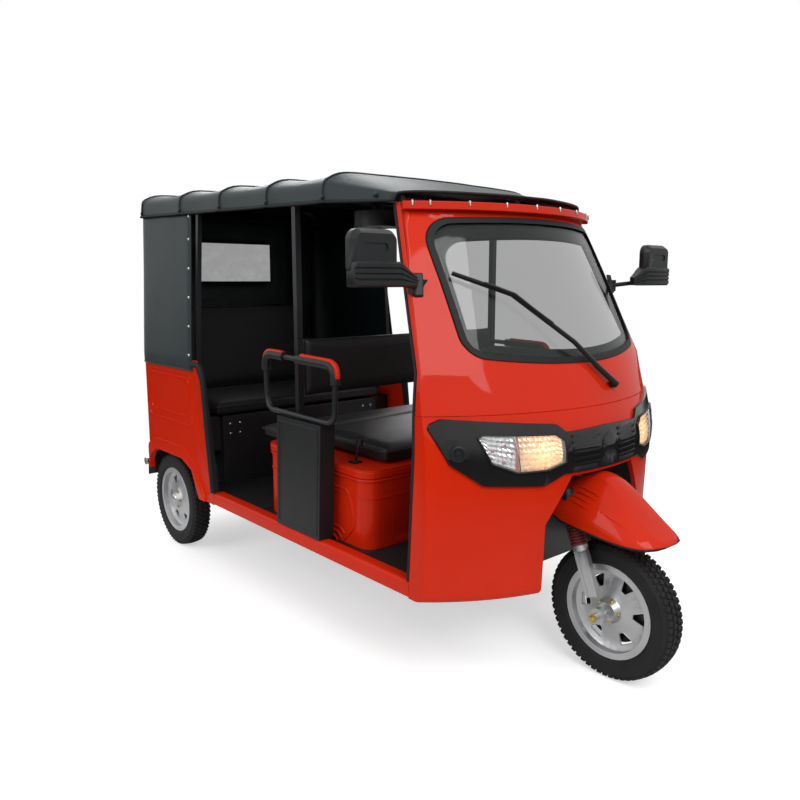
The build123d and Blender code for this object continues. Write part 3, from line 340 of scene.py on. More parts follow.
# %% Round and dress the rigid nodes
# Bevel width in metres of each rigid node; nodes that are rebuilt below are not listed.
edge_width = {
    "front_cowl_lower": 0.003, "front_cowl_upper": 0.003, "windscreen_gasket": 0.002, "windscreen_glass": 0,
    "lamp_panel": 0.002, "front_wheel_well": 0.002, "rear_side_right": 0.002, "rear_side_left": 0.002,
    "rear_panel": 0.002, "edge_trims": 0.002, "side_sills": 0.002, "floor_pan": 0, "floor_mats": 0.001,
    "chassis_frame": 0.002, "steering_head": 0.002, "engine_block": 0.004, "rear_axle": 0.002,
    "leaf_springs": 0.002, "rear_bumper": 0.002, "bench_base": 0.003, "driver_seat_box": 0.002,
    "side_partitions": 0.0015, "roof_frame": 0.002, "rear_window_film": 0, "mirrors": 0.003, "wiper": 0.001,
    "dashboard": 0.004, "gear_lever": 0.001, "brake_pedal": 0.001, "ceiling_fan": 0.001, "fan_blades": 0.001,
    "fork": 0.002, "front_axle": 0.001, "handlebar": 0.002, "front_rim": 0.0015, "rear_rim_right": 0.0015,
    "rear_rim_left": 0.0015,
}
other_look = {"lamp_panel": "gloss_black", "fork": "rim_silver"}
fork_crown = 0.60
skins = {}
for node, width in edge_width.items():
    skin = merged_copy(node)
    smooth_by_angle(skin.data, 32)
    if width:
        bevelled(skin, width)
    look = other_look.get(node, slot_of[node])
    slot = "rim_silver" if node == "fork" else slot_of[node]
    skins[node] = dress(skin, look, body_of[node], slot, node)
skins["fork"].data.materials.append(finishes["black_metal"])
for face in skins["fork"].data.polygons:
    face.material_index = 1 if face.center.z > fork_crown else 0
print("dressed", len(skins), "rigid nodes")

# %% [markdown]
# ## Parts that repeat
# Tread blocks, nuts, snaps, clips and stitches repeat along a path or round a circle.  One Geometry
# Nodes tree sets any small part on the points of a mesh, turned by an attribute of each point, and
# makes the result real.  The points are worked out in Python, because their rules differ; the tree,
# the part, its size and its finish are the modifier's inputs.

# %% The tree that sets a part on points
set_on_points = bpy.data.node_groups.new("set_on_points", "GeometryNodeTree")
sockets = {}
for label, kind in (("Geometry", "Geometry"), ("Part", "Object"), ("Size", "Float"), ("Finish", "Material")):
    sockets[label] = set_on_points.interface.new_socket(label, in_out="INPUT",
                                                        socket_type="NodeSocket" + kind)
set_on_points.interface.new_socket("Geometry", in_out="OUTPUT", socket_type="NodeSocketGeometry")
entry = set_on_points.nodes.new("NodeGroupInput").outputs
part_info = set_on_points.nodes.new("GeometryNodeObjectInfo")
turn = set_on_points.nodes.new("GeometryNodeInputNamedAttribute")
turn.data_type = "FLOAT_VECTOR"
turn.inputs["Name"].default_value = "turn"
instances = set_on_points.nodes.new("GeometryNodeInstanceOnPoints")
realized = set_on_points.nodes.new("GeometryNodeRealizeInstances")
coated = set_on_points.nodes.new("GeometryNodeSetMaterial")
leave = set_on_points.nodes.new("NodeGroupOutput")
for start, end in (
        (entry["Geometry"], instances.inputs["Points"]), (entry["Part"], part_info.inputs["Object"]),
        (part_info.outputs["Geometry"], instances.inputs["Instance"]),
        (turn.outputs["Attribute"], instances.inputs["Rotation"]), (entry["Size"], instances.inputs["Scale"]),
        (instances.outputs["Instances"], realized.inputs["Geometry"]),
        (realized.outputs["Geometry"], coated.inputs["Geometry"]),
        (entry["Finish"], coated.inputs["Material"]),
        (coated.outputs["Geometry"], leave.inputs["Geometry"])):
    set_on_points.links.new(start, end)
print("tree nodes:", len(set_on_points.nodes))


# %% Setting a part on places
def facing(outward, along):
    """Euler angles that turn local z outward and local x along."""
    outward = Vector(outward).normalized()
    side = outward.cross(Vector(along)).normalized()
    forward = side.cross(outward)
    return Matrix((forward, side, outward)).transposed().to_euler()


def shown_mesh(piece):
    """New mesh of what an object shows with its modifiers."""
    return bpy.data.meshes.new_from_object(piece.evaluated_get(bpy.context.evaluated_depsgraph_get()))


def plain_mesh(name, holder):
    """Plain mesh of what an object shows; the object is removed."""
    mesh = shown_mesh(holder)
    mesh.name = name
    bpy.data.objects.remove(holder)
    return mesh


def set_parts(name, part_mesh, places, look, slot=None, body="body", size=1.0):
    """One plain mesh of a small part repeated at (position, outward, along) places."""
    part = new_object(name + "_part", part_mesh)
    points = bpy.data.meshes.new(name + "_points")
    points.from_pydata([place[0] for place in places], [], [])
    turns = points.attributes.new("turn", "FLOAT_VECTOR", "POINT")
    for index, (position, outward, along) in enumerate(places):
        turns.data[index].vector = facing(outward, along)
    holder = new_object(name + "_holder", points)
    setter = holder.modifiers.new("set", "NODES")
    setter.node_group = set_on_points
    setter[sockets["Part"].identifier] = part
    setter[sockets["Size"].identifier] = size
    setter[sockets["Finish"].identifier] = finishes[look]
    bpy.context.view_layer.update()
    mesh = plain_mesh(name, holder)
    bpy.data.objects.remove(part)
    smooth_by_angle(mesh, 35)
    print(name, "x", len(places))
    return dress(new_object(name, mesh), look, body, slot)


# %% Shapes from rings of points
def circle(count, phase=0.0):
    """(cosine, sine) of evenly spaced directions round a circle."""
    return [(cos(2 * pi * (k + phase) / count), sin(2 * pi * (k + phase) / count)) for k in range(count)]


def ring_mesh(name, rings, looped=False):
    """Mesh over rings of points: capped at both ends, or joined end to end when looped."""
    work = bmesh.new()
    rings = [[work.verts.new(point) for point in ring] for ring in rings]
    for one, two in zip(rings, rings[1:] + rings[:1] if looped else rings[1:]):
        for k in range(len(one)):
            after = (k + 1) % len(one)
            work.faces.new((one[k], one[after], two[after], two[k]))
    if not looped:
        work.faces.new(rings[0])
        work.faces.new(rings[-1])
    bmesh.ops.remove_doubles(work, verts=work.verts, dist=1e-5)
    bmesh.ops.recalc_face_normals(work, faces=work.faces)
    return mesh_of(work, name)


def turned_part(name, profile, steps=12):
    """Mesh of a profile of (radius, height) turned about z."""
    return ring_mesh(name, [[(radius * c, radius * s, height) for c, s in circle(steps)]
                            for radius, height in profile])


def turned_about_axle(name, centre, profile, steps, looped=True):
    """Mesh of a profile of (radius, across) turned about a line along y through the centre."""
    return ring_mesh(name, [[(centre.x + radius * c, centre.y + across, centre.z + radius * s)
                             for c, s in circle(steps)] for radius, across in profile], looped)


# %% Small parts
def block_part(name, length, width, height, round_off):
    """Mesh of a small block standing on z = 0, narrower at the top, with softened edges."""
    work = bmesh.new()
    bmesh.ops.create_cube(work, size=1)
    for vert in work.verts:
        taper = 0.86 if vert.co.z > 0 else 1
        vert.co = Vector((vert.co.x * length * taper, vert.co.y * width * taper, (vert.co.z + 0.5) * height))
    bmesh.ops.bevel(work, geom=list(work.edges), offset=round_off, segments=1, affect="EDGES")
    return mesh_of(work, name)


def bolt_mesh(radius, height):
    """Hexagon head on a washer."""
    return turned_part("bolt", [(radius * 1.35, 0), (radius * 1.35, height * 0.22), (radius, height * 0.24),
                                (radius, height * 0.85), (radius * 0.82, height)], steps=6)


def dome_mesh(radius, height):
    """Low dome of a snap or a rivet."""
    return turned_part("dome", [(radius, 0), (radius * 0.94, height * 0.45), (radius * 0.7, height * 0.82),
                                (radius * 0.3, height)])


# %% Tubes along a path
def tube(name, points, radius, look, slot=None, body="body", closed=False, ring_steps=8, taper=None):
    """Round bar along one or several runs of points; taper scales the radius at each point."""
    curve = bpy.data.curves.new(name, "CURVE")
    curve.dimensions = "3D"
    runs = points if isinstance(points[0][0], (tuple, list, Vector)) else [points]
    for run in runs:
        spline = curve.splines.new("POLY")
        spline.points.add(len(run) - 1)
        for index, (target, point) in enumerate(zip(spline.points, run)):
            target.co = (*point, 1)
            target.radius = taper[index] if taper else 1
        spline.use_cyclic_u = closed
    curve.bevel_depth = radius
    curve.bevel_resolution = ring_steps // 4
    curve.use_fill_caps = True
    mesh = plain_mesh(name, new_object(name + "_path", curve))
    smooth_by_angle(mesh, 50)
    print(name, "runs:", len(runs))
    return dress(new_object(name, mesh), look, body, slot)


# %% [markdown]
# ## Tyres
# A tyre is a turned profile: bead, bulging sidewall with thin rings, shoulder and crown.  The tread
# is separate blocks in four staggered rows, which is how a cross-ply rickshaw tyre is moulded.

# %% Tyre sizes
wheel_centres = {"front_tyre": Vector((1.285, 0, 0.251)), "rear_tyre_right": Vector((-1.05, -0.57, 0.251)),
                 "rear_tyre_left": Vector((-1.05, 0.57, 0.251))}
outward_of = {"front_tyre": -1, "rear_tyre_right": -1, "rear_tyre_left": 1}
tyre_profile = [(0.1574, 0.0376), (0.1735, 0.0378), (0.1760, 0.0440), (0.1840, 0.0478), (0.1850, 0.0488),
                (0.1880, 0.0489), (0.1890, 0.0482), (0.2000, 0.0494), (0.2120, 0.0494), (0.2200, 0.0482),
                (0.2212, 0.0488), (0.2245, 0.0482), (0.2255, 0.0470), (0.2330, 0.0440), (0.2385, 0.0400),
                (0.2420, 0.0330), (0.2436, 0.0200), (0.2442, 0.0)]
whole_profile = tyre_profile + [(radius, -across) for radius, across in tyre_profile[-2::-1]]
# Place across the tyre, share of a block that the row is shifted, and radius at the blocks' foot.
tread_rows = [(-0.033, 0.5, 0.2387), (-0.0115, 0.0, 0.2417), (0.0115, 0.5, 0.2417), (0.033, 0.0, 0.2387)]
blocks_round = 62
block_slant, shoulder_tilt = 0.35, 6
tread_block = block_part("tread_block", 0.0195, 0.0180, 0.0085, 0.0013)


# %% Casings and tread
def wheel_piece(name, node, profile, steps, angle, look, looped=True, stands_for=None):
    """Turned piece on the axle of a tyre, from a profile of (radius, distance outward)."""
    outward_profile = [(radius, outward_of[node] * across) for radius, across in profile]
    piece = new_object(name, turned_about_axle(name, wheel_centres[node], outward_profile, steps, looped))
    smooth_by_angle(piece.data, angle)
    dress(piece, look, body_of[node], node=stands_for)
    print(name, len(piece.data.polygons), "faces")


for node, centre in wheel_centres.items():
    wheel_piece(node + "_casing", node, whole_profile, 96, 40, "tyre_rubber", stands_for=node)
    places = []
    for across, phase, foot in tread_rows:
        slant = block_slant if across < 0 else -block_slant
        for c, s in circle(blocks_round, phase):
            places.append((centre + Vector((foot * c, across, foot * s)), (c, across * shoulder_tilt, s),
                           (-s, slant, c)))
    set_parts(node + "_tread", tread_block, places, "tyre_rubber", body=body_of[node])

# %% [markdown]
# ## Wheels
# The pressed disc has a rolled lip round each window and five nuts on the hub.  The lips are round
# bars that follow the disc's cone, because a bar half sunk in a face reads as a rolled edge.

# %% Window lips and hub nuts
window_outline = [(0.086, -0.0075), (0.086, 0.0075), (0.0895, 0.0115), (0.125, 0.0265), (0.1295, 0.0255),
                  (0.1305, 0.0215), (0.1305, -0.0215), (0.1295, -0.0255), (0.125, -0.0265), (0.0895, -0.0115)]
disc_inner, disc_face, disc_fall = 0.064, 0.017, 0.012 / 0.058
nut_circle, nut_face = 0.041, 0.030
hub_nut = bolt_mesh(0.0062, 0.009)
for node, centre in wheel_centres.items():
    outward = outward_of[node]
    lips = []
    for c, s in circle(6):
        lip = []
        for radial, tangent in window_outline:
            face = disc_face - disc_fall * (hypot(radial, tangent) - disc_inner)
            lip.append(centre + Vector((radial * c - tangent * s, outward * face, radial * s + tangent * c)))
        lips.append(lip)
    wheel = node.replace("tyre", "rim")
    tube(wheel + "_lips", lips, 0.0022, "rim_silver", body=body_of[node], closed=True)
    nuts = [(centre + Vector((nut_circle * c, outward * nut_face, nut_circle * s)), (0, outward, 0),
             (1, 0, 0)) for c, s in circle(5)]
    set_parts(wheel + "_nuts", hub_nut, nuts, "zinc", "bright_steel", body_of[node])

# %% Rear hub caps
cap_profile = [(0, 0.0545), (0.012, 0.0540), (0.022, 0.0515), (0.027, 0.0470), (0.028, 0.0455), (0, 0.0455)]
for node in ("rear_tyre_right", "rear_tyre_left"):
    wheel_piece(node.replace("tyre", "cap"), node, cap_profile, 32, 35, "bright_steel", looped=False)

# %% Brake drums
drum_profile = [(0.050, -0.009), (0.100, -0.010), (0.120, -0.0115), (0.1265, -0.015), (0.1265, -0.020),
                (0.1235, -0.021), (0.1235, -0.026), (0.1265, -0.027), (0.1265, -0.036), (0.118, -0.040),
                (0.050, -0.040)]
for node in wheel_centres:
    wheel_piece(node.replace("tyre", "drum"), node, drum_profile, 64, 35, "black_metal")

# %% [markdown]
# ## Canopy
# The canopy is one vinyl sheet pulled over five steel hoops and folded down at the back.  A grid of
# points follows the roof's cross sections from the tail to the header.  Between hoops the cloth sinks
# a few millimetres, and over each hoop it stands a little, which is what tells the eye that it is cloth.


# %% Values between sections
def at_section(sections, place):
    """Values of a table of sections at a place, on straight lines between its rows."""
    for low, high in zip(sections, sections[1:]):
        if place <= high[0] or high is sections[-1]:
            share = (place - low[0]) / (high[0] - low[0])
            return [a + (b - a) * share for a, b in zip(low[1:], high[1:])]


# %% Roof shape
# x, half width at the hem, hem height, shoulder height and crown height of each roof section.
roof_sections = [(-1.440, 0.560, 1.768, 1.835, 1.872), (-1.344, 0.600, 1.760, 1.840, 1.884),
                 (0.367, 0.600, 1.708, 1.780, 1.828), (0.690, 0.525, 1.695, 1.722, 1.738),
                 (0.900, 0.505, 1.693, 1.708, 1.720)]
hoops_x = [-1.332, -0.868, -0.457, -0.048, 0.355]
roof_lean, shoulder_width, crown_drop = 0.008, 0.075, 0.008
side_points, edge_points, top_points = 6, 4, 14
header_reach, header_back, header_half = 0.868, 0.186, 0.525
header_radius = (header_half**2 + header_back**2) / (2 * header_back)


def roof_section(x):
    """Points (y, z) across the roof at x, from the right hem to the left."""
    half, hem, shoulder, crown = at_section(roof_sections, x)
    line = [(-half + roof_lean * k / 6, hem + (shoulder - hem) * k / 6) for k in range(side_points)]
    line += [(-half + roof_lean + (shoulder_width - roof_lean) * k / 5,
              shoulder + (crown - crown_drop - shoulder) * k / 5) for k in range(edge_points)]
    for k in range(top_points):
        share = 1 - k / top_points
        line.append((-(half - shoulder_width) * share, crown - crown_drop * share**2))
    line += [(0, crown)] + [(-y, z) for y, z in reversed(line)]
    for smoothing in range(2):
        line = [line[0]] + [((a[0] + 2 * b[0] + c[0]) / 4, (a[1] + 2 * b[1] + c[1]) / 4)
                            for a, b, c in zip(line, line[1:], line[2:])] + [line[-1]]
    return line


def header_x(y):
    """Front edge of the canopy at a width."""
    return header_reach - header_radius + sqrt(max(0, header_radius**2 - y * y))


print("points across the roof:", len(roof_section(0)))

# %% Canopy rows
canopy_sag, hoop_ridge, ridge_reach = 0.0145, 0.0035, 0.022
ripple_scale = (7, 9)


def grid_object(name, *grids):
    """Object over one or several grids, each a list of rows of points with equal counts."""
    points, faces = [], []
    for rows in grids:
        start, width = len(points), len(rows[0])
        points += [point for row in rows for point in row]
        faces += [(start + i * width + j, start + i * width + j + 1, start + (i + 1) * width + j + 1,
                   start + (i + 1) * width + j) for i in range(len(rows) - 1) for j in range(width - 1)]
    mesh = bpy.data.meshes.new(name)
    mesh.from_pydata(points, [], faces)
    return new_object(name, mesh)


def cloth_sink(x):
    """How far the cloth hangs below its straight line at x, zero on a hoop."""
    for low, high in zip(hoops_x, hoops_x[1:]):
        if low < x < high:
            return canopy_sag * sin(pi * (x - low) / (high - low)) ** 1.5
    return 0.0


def ripple(x, y):
    """Small unevenness of the cloth, from -1 to 1."""
    return noise.noise(Vector((x * ripple_scale[0], y * ripple_scale[1], 0.3)))


def canopy_row(x):
    """Row of sheet points at x, sunk between hoops and raised over them."""
    half = at_section(roof_sections, x)[0]
    sink = cloth_sink(x)
    ridge = hoop_ridge * max([max(0, 1 - abs(x - hoop) / ridge_reach) for hoop in hoops_x])
    row = []
    for y, z in roof_section(x):
        top_share = max(0.0, 1 - (abs(y) / half) ** 6)
        drawn_in = 1 - 0.007 * sink / canopy_sag
        row.append((x, y * drawn_in, z + ridge + (0.0012 * ripple(x, y) - sink) * top_share))
    return row


# %% Canopy sheet
tail_x, front_start, roof_end = -1.438, 0.367, 0.9
tail_shares = (1.0, 0.8, 0.6, 0.4, 0.2, 0.07)
steps_back, steps_ahead = 62, 14
tail = canopy_row(tail_x)
tail_hem = at_section(roof_sections, tail_x)[1]
rows = [[(-1.4395 + 0.004 * (1 - share) ** 3, y, z + (tail_hem - z) * share) for x, y, z in tail]
        for share in tail_shares]
rows += [canopy_row(tail_x + (front_start - tail_x) * k / steps_back) for k in range(steps_back + 1)]
for k in range(1, steps_ahead + 1):
    share = k / steps_ahead
    row = []
    for index in range(len(tail)):
        x = front_start + share * (header_reach - front_start)
        for settling in range(6):
            y, z = roof_section(min(x, roof_end))[index]
            x = front_start + share * (header_x(y) - front_start)
        row.append((x, y, z + 0.0010 * ripple(x, y)))
    rows.append(row)
canopy = grid_object("canopy_sheet", rows)
canopy.data.shade_smooth()
walled(canopy, 0.0028, 1)

# %% Canopy dress
dress(canopy, "canopy_vinyl", node="canopy_cover")


def over_hoop(x, proud=0.002):
    """Points across the roof at x, standing proud of the sheet."""
    half, hem, shoulder, crown = at_section(roof_sections, x)
    points = []
    for x_row, y, z in canopy_row(x):
        lift = Vector((0, y * 0.35, z - crown + 0.2)).normalized() * proud
        outward = proud if y > half - 0.03 else -proud if y < 0.03 - half else 0
        points.append((x, y + outward, z + lift.z))
    return points


tube("canopy_piping", [over_hoop(x) for x in hoops_x], 0.0036, "canopy_vinyl")
over_top = rows[len(tail_shares):]
right_hem = [(row[0][0], row[0][1] - 0.0005, row[0][2]) for row in over_top]
left_hem = [(row[-1][0], row[-1][1] + 0.0005, row[-1][2]) for row in over_top]
front_hem = [(x + 0.001, y, z) for x, y, z in rows[-1]]
tube("canopy_binding", [right_hem, left_hem, front_hem, rows[0]], 0.0055, "black_rubber", "canopy_vinyl")

# %% Hem studs
stud = dome_mesh(0.0095, 0.0065)
studs = []
for side in (-1, 1):
    for x in hoops_x + [0.60]:
        half, hem = at_section(roof_sections, x)[:2]
        studs.append(((x + 0.004, side * (half + 0.0005), hem + 0.020), (0, side, 0.1), (1, 0, 0)))
set_parts("hem_studs", stud, studs, "black_plastic")

# %% [markdown]
# ## Curtains
# Vinyl curtains close the back and the rear half of each side.  They hang from the hoops to the belt
# of the steel body, lean inwards with it, and wrinkle slightly between their fixings.

# %% Curtain surface
# Height, half width, rear x and corner radius of the inside of the curtain wall.
curtain_shoulder = (1.037, 0.6453, -1.4303, 0.1903)
curtain_high = (1.790, 0.583, -1.4218, 0.098)
curtain_foot, curtain_head = 0.985, 1.757
front_foot_x, front_slope = -0.700, 0.062
rear_split = 0.4203
vinyl_thickness, cloth_mid = 0.0024, 0.0026


def curtain_values(z):
    """Half width, rear x and corner radius of the curtain wall at z."""
    return at_section([curtain_shoulder, curtain_high], max(z, curtain_shoulder[0]))


def height_share(z):
    """Share of the curtain's height at z: 0 at the foot, 1 at the head."""
    return (z - curtain_foot) / (curtain_head - curtain_foot)


def curtain_line(z):
    """Points in plan along one side curtain at z, from its front edge to the rear split."""
    front_x = front_foot_x - front_slope * height_share(z)
    half, rear_x, corner = curtain_values(z)
    half, rear_x, corner = half + cloth_mid, rear_x - cloth_mid, corner + cloth_mid
    points = [(front_x + (rear_x + corner - front_x) * k / 14, half) for k in range(15)]
    for k in range(1, 10):
        angle = radians(90 * k / 9)
        points.append((rear_x + corner - corner * sin(angle), half - corner + corner * cos(angle)))
    end_y = half - corner
    return points + [(rear_x, end_y + (rear_split - end_y) * k / 3) for k in range(1, 4)]


def hung_height(x, z):
    """Height z, stretched so that the curtain's head follows the canopy at x."""
    past_corner = -1.344 - x
    head = 1.772 + past_corner * (0.12 if past_corner >= 0 else 0.020 / 0.644)
    return curtain_foot + height_share(z) * (head - curtain_foot)


# %% Side curtains
curtain_heights = [0.985, 0.992, 1.012, 1.037] + [1.037 + 0.72 * k / 22 for k in range(1, 23)]
side_sheets = {}
for side, label in ((-1, "right"), (1, "left")):
    rows = []
    for z in curtain_heights:
        share = height_share(z)
        row = []
        for x, y in curtain_line(z):
            height = hung_height(x, z)
            fold = noise.noise(Vector((x * 5 + side, height * 2.2, y * 3)))
            row.append((x, side * (y + 0.002 * fold * min(1, share * 4) * (1 - share**4)), height))
        rows.append(row)
    side_sheets[label] = grid_object("curtain_" + label, rows)
    side_sheets[label].data.shade_smooth()
    walled(side_sheets[label], vinyl_thickness)
for sheet in side_sheets.values():
    dress(sheet, "canopy_vinyl")
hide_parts("side_curtains")

# %% Rear curtain with its window opening
window_half, window_low, window_high = 0.2497, 1.4153, 1.6447
across = [-0.4197, -0.36, -0.30, -window_half, -0.2, -0.1, 0, 0.1, 0.2, window_half, 0.30, 0.36, 0.4197]
upward = [0.985, 1.01, 1.037, 1.12, 1.21, 1.30, 1.36, window_low, 1.49, 1.57, window_high, 1.70, 1.745, 1.782]


def rear_wall_x(z, behind=cloth_mid):
    """x of the rear curtain at z."""
    return curtain_values(z)[1] - behind


points, faces = [], []
for z in upward:
    for y in across:
        wave = 0 if abs(y) > 0.4 else 0.0015 * noise.noise(Vector((y * 6, z * 5, 4.0)))
        points.append((rear_wall_x(z) + wave, y, z))
for i in range(len(upward) - 1):
    for j in range(len(across) - 1):
        in_window = -window_half <= across[j] < window_half and window_low <= upward[i] < window_high
        if not in_window:
            base = i * len(across) + j
            faces.append((base, base + len(across), base + len(across) + 1, base + 1))
mesh = bpy.data.meshes.new("curtain_rear")
mesh.from_pydata(points, [], faces)
mesh.shade_smooth()
rear_sheet = new_object("curtain_rear", mesh)
walled(rear_sheet, vinyl_thickness)
dress(rear_sheet, "canopy_vinyl", node="rear_curtain")

# %% Curtain bindings
edges = []
for side in (-1, 1):
    front_edge = [(z, *curtain_line(z)[0]) for z in curtain_heights]
    edges.append([(x, side * y, hung_height(x, z)) for z, x, y in front_edge])
    edges.append([(x, side * y, curtain_foot + 0.0005) for x, y in curtain_line(curtain_foot)])
    edges.append([(rear_wall_x(z) - 0.0015, side * 0.420, z) for z in upward])
tube("curtain_binding", edges, 0.0040, "canopy_vinyl")
window_corners = [(-window_half, window_low), (window_half, window_low), (window_half, window_high),
                  (-window_half, window_high)]
tube("window_binding", [(rear_wall_x(z), y, z) for y, z in window_corners], 0.0045, "black_rubber",
     "canopy_vinyl", closed=True)

# %% Snaps down the curtains' front edges
snap = dome_mesh(0.0075, 0.0045)
snaps = []
for side in (-1, 1):
    for z in (1.06, 1.20, 1.34, 1.48, 1.62, 1.73):
        x, y = curtain_line(z)[0]
        snaps.append(((x - 0.022, side * (y + 0.0012), z), (0, side, 0.08), (1, 0, 0)))
set_parts("curtain_snaps", snap, snaps, "bright_steel")


# %% Stitching
def stitch_places(corners, outward, pitch=0.011):
    """Places of stitches along straight runs between corners."""
    places = []
    for start, end in zip(corners, corners[1:]):
        start, end = Vector(start), Vector(end)
        count = max(1, int((end - start).length / pitch))
        places += [(start.lerp(end, (k + 0.5) / count), outward, end - start) for k in range(count)]
    return places


stitch = block_part("stitch", 0.0075, 0.0016, 0.0010, 0.0004)
low_seam_y, low_seam_z = 0.6493, 1.008
frame_half, frame_low, frame_high = 0.285, 1.385, 1.675
frame_corners = [(-frame_half, frame_low), (frame_half, frame_low), (frame_half, frame_high),
                 (-frame_half, frame_high), (-frame_half, frame_low)]
stitches = []
for side in (-1, 1):
    front_seam = []
    for z in (1.008, 1.037, 1.25, 1.45, 1.65, 1.742):
        x, y = curtain_line(z)[0]
        front_seam.append((x - 0.042, side * (y + 0.0016), z))
    stitches += stitch_places(front_seam, (0, side, 0.08))
    low_seam = [(x, side * low_seam_y, low_seam_z) for x in (-0.742, -1.235)]
    stitches += stitch_places(low_seam, (0, side, 0))
for behind, facing_x in ((0.0042, -1), (-0.0014, 1)):
    frame_seam = [(rear_wall_x(z, behind), y, z) for y, z in frame_corners]
    stitches += stitch_places(frame_seam, (facing_x, 0, 0))
set_parts("curtain_stitches", stitch, stitches, "thread", "canopy_vinyl")

# %% [markdown]
# ## Nose surface
# Lamps, the black edge of the windscreen and small trim lie on the curved nose.  The nose is arcs in
# plan whose reach and bulge change with height, so one function gives its surface at any place.

# %% Nose surface
# Height, foremost x, bulge of the arc and half width of each nose section.
nose_sections = [(0.345, 1.220, 0.252, 0.645), (0.700, 1.233, 0.253, 0.645), (0.850, 1.232, 0.253, 0.645),
                 (0.915, 1.219, 0.248, 0.645), (0.985, 1.195, 0.236, 0.645), (1.050, 1.169, 0.221, 0.641),
                 (1.125, 1.140, 0.201, 0.634), (1.400, 1.014, 0.190, 0.575), (1.690, 0.880, 0.185, 0.511)]


def nose_point(y, z, proud=0.0):
    """Point on the nose at a width and a height, standing proud of the paint."""
    reach, bulge, half = at_section(nose_sections, z)
    radius = (half**2 + bulge**2) / (2 * bulge)
    return Vector((reach - radius + sqrt((radius + proud) ** 2 - y * y), y, z))


print("nose tip at lamp height:", [round(value, 3) for value in nose_point(0, 0.85)])

# %% [markdown]
# ## Headlamps
# Each lamp is a clear cover over two bowls: a faceted chrome one outside, and an amber one inside
# that glows with painted light.  A rib divides them, and three small bulbs stand in the outer bowl.

# %% Lens outline
lens_low = [(0.222, 0.815), (0.290, 0.795), (0.400, 0.795), (0.480, 0.830), (0.515, 0.915)]
lens_high = [(0.222, 0.890), (0.255, 0.914), (0.500, 0.927), (0.515, 0.917)]


def lens_grid(side, near_y, far_y, columns, lines, proud, margin=0.003, relief=None):
    """Grid rows of points over part of a lens, between two widths."""
    rows = []
    for i in range(lines + 1):
        row = []
        for j in range(columns + 1):
            y = near_y + (far_y - near_y) * j / columns
            low, high = at_section(lens_low, y)[0] + margin, at_section(lens_high, y)[0] - margin
            lift = proud + (relief(i, j) if relief else 0)
            row.append(nose_point(side * y, low + (high - low) * i / lines, lift))
        rows.append(row)
    return rows


def facing_out(piece):
    """Turn the faces of a piece to look forward."""
    work = bmesh.new()
    work.from_mesh(piece.data)
    for face in work.faces:
        if face.normal.x < 0:
            face.normal_flip()
    work.to_mesh(piece.data)
    work.free()
    return piece


def facet(i, j):
    """Relief of a bowl: upright flutes crossed by shallow steps."""
    return 0.0040 * (j % 2) + 0.0022 * (i % 2) + 0.0012 * ((i * 7 + j * 3) % 5) / 5


# %% [markdown]
# The amber bowl glows by itself with painted light: a colour ramp over the distance to a painted hot spot
# goes from pale yellow to dark amber, and a cell pattern of painted glints breaks it up as the facets of a
# real bowl do.

# %% Amber bowl with painted glow
# The amber bowl is painted with light: its glow is emission, with a painted hot spot and painted glints
# standing in for light on its facets.
painted_hot_spot = (0.295, 0.858, 0)
finishes["amber_bowl_painted_glow"] = finish("amber_bowl_painted_glow", (0.75, 0.60, 0.42), 0.12, metallic=0.6, grain=(140.0, 0.4, 0.001))
tree = finishes["amber_bowl_painted_glow"].node_tree
place = add_node(tree, "TexCoord", {}).outputs["Object"]
parts_of = add_node(tree, "SeparateXYZ", {0: place}).outputs
either_side = add_node(tree, "Math", {0: parts_of["Y"]}, "ABSOLUTE").outputs[0]
on_lens = add_node(tree, "CombineXYZ", {"X": either_side, "Y": parts_of["Z"]}).outputs[0]
from_hot_spot = add_node(tree, "VectorMath", {0: on_lens, 1: painted_hot_spot}, "DISTANCE").outputs["Value"]
# Painted glints: a cell pattern that breaks up the painted glow.
painted_glints = add_node(tree, "TexVoronoi", {"Scale": 110, "Vector": on_lens}).outputs["Distance"]
dimming = add_node(tree, "Math", {0: painted_glints, 1: 0.075, 2: from_hot_spot}, "MULTIPLY_ADD").outputs[0]
painted_glow_ramp = add_node(tree, "ValToRGB", {"Fac": dimming})
stops = painted_glow_ramp.color_ramp.elements
stops[0].position, stops[1].position = 0.02, 0.16
stops.new(0.055)
stops.new(0.095)
# Colours of the painted glow, from the painted hot spot out to dark amber.
painted_glow_colours = ((1.0, 0.86, 0.56), (0.95, 0.50, 0.16), (0.55, 0.22, 0.05), (0.10, 0.035, 0.010))
for stop, colour in zip(stops, painted_glow_colours):
    stop.color = (*colour, 1)
set_inputs(tree, tree.nodes["Principled BSDF"], {"Emission Color": painted_glow_ramp.outputs["Color"],
                                                 "Emission Strength": 1.1})
print("lit bowl nodes:", len(tree.nodes))

# %% Lamp bowls and covers
bowl_proud, cover_proud = 0.0015, 0.0150
outer_bowls = grid_object("lamp_bowls_clear", *[
    lens_grid(side, 0.398, 0.506, 16, 13, bowl_proud, relief=facet) for side in (-1, 1)])
dress(facing_out(outer_bowls), "reflector", slot="bright_steel")
# The amber bowls get the painted glow and painted glints.
inner_bowls = grid_object("lamp_bowls_amber", *[
    lens_grid(side, 0.226, 0.384, 22, 13, bowl_proud, relief=facet) for side in (-1, 1)])
dress(facing_out(inner_bowls), "amber_bowl_painted_glow", slot="clear_lens")
covers = grid_object("lamp_covers", *[lens_grid(side, 0.2235, 0.5135, 28, 10, cover_proud, margin=0.0010)
                                      for side in (-1, 1)])
facing_out(covers).data.shade_smooth()
walled(covers, 0.002, -1)
dress(covers, "clear_lens", node="headlamps")
print("lamp covers:", len(covers.data.polygons), "faces")

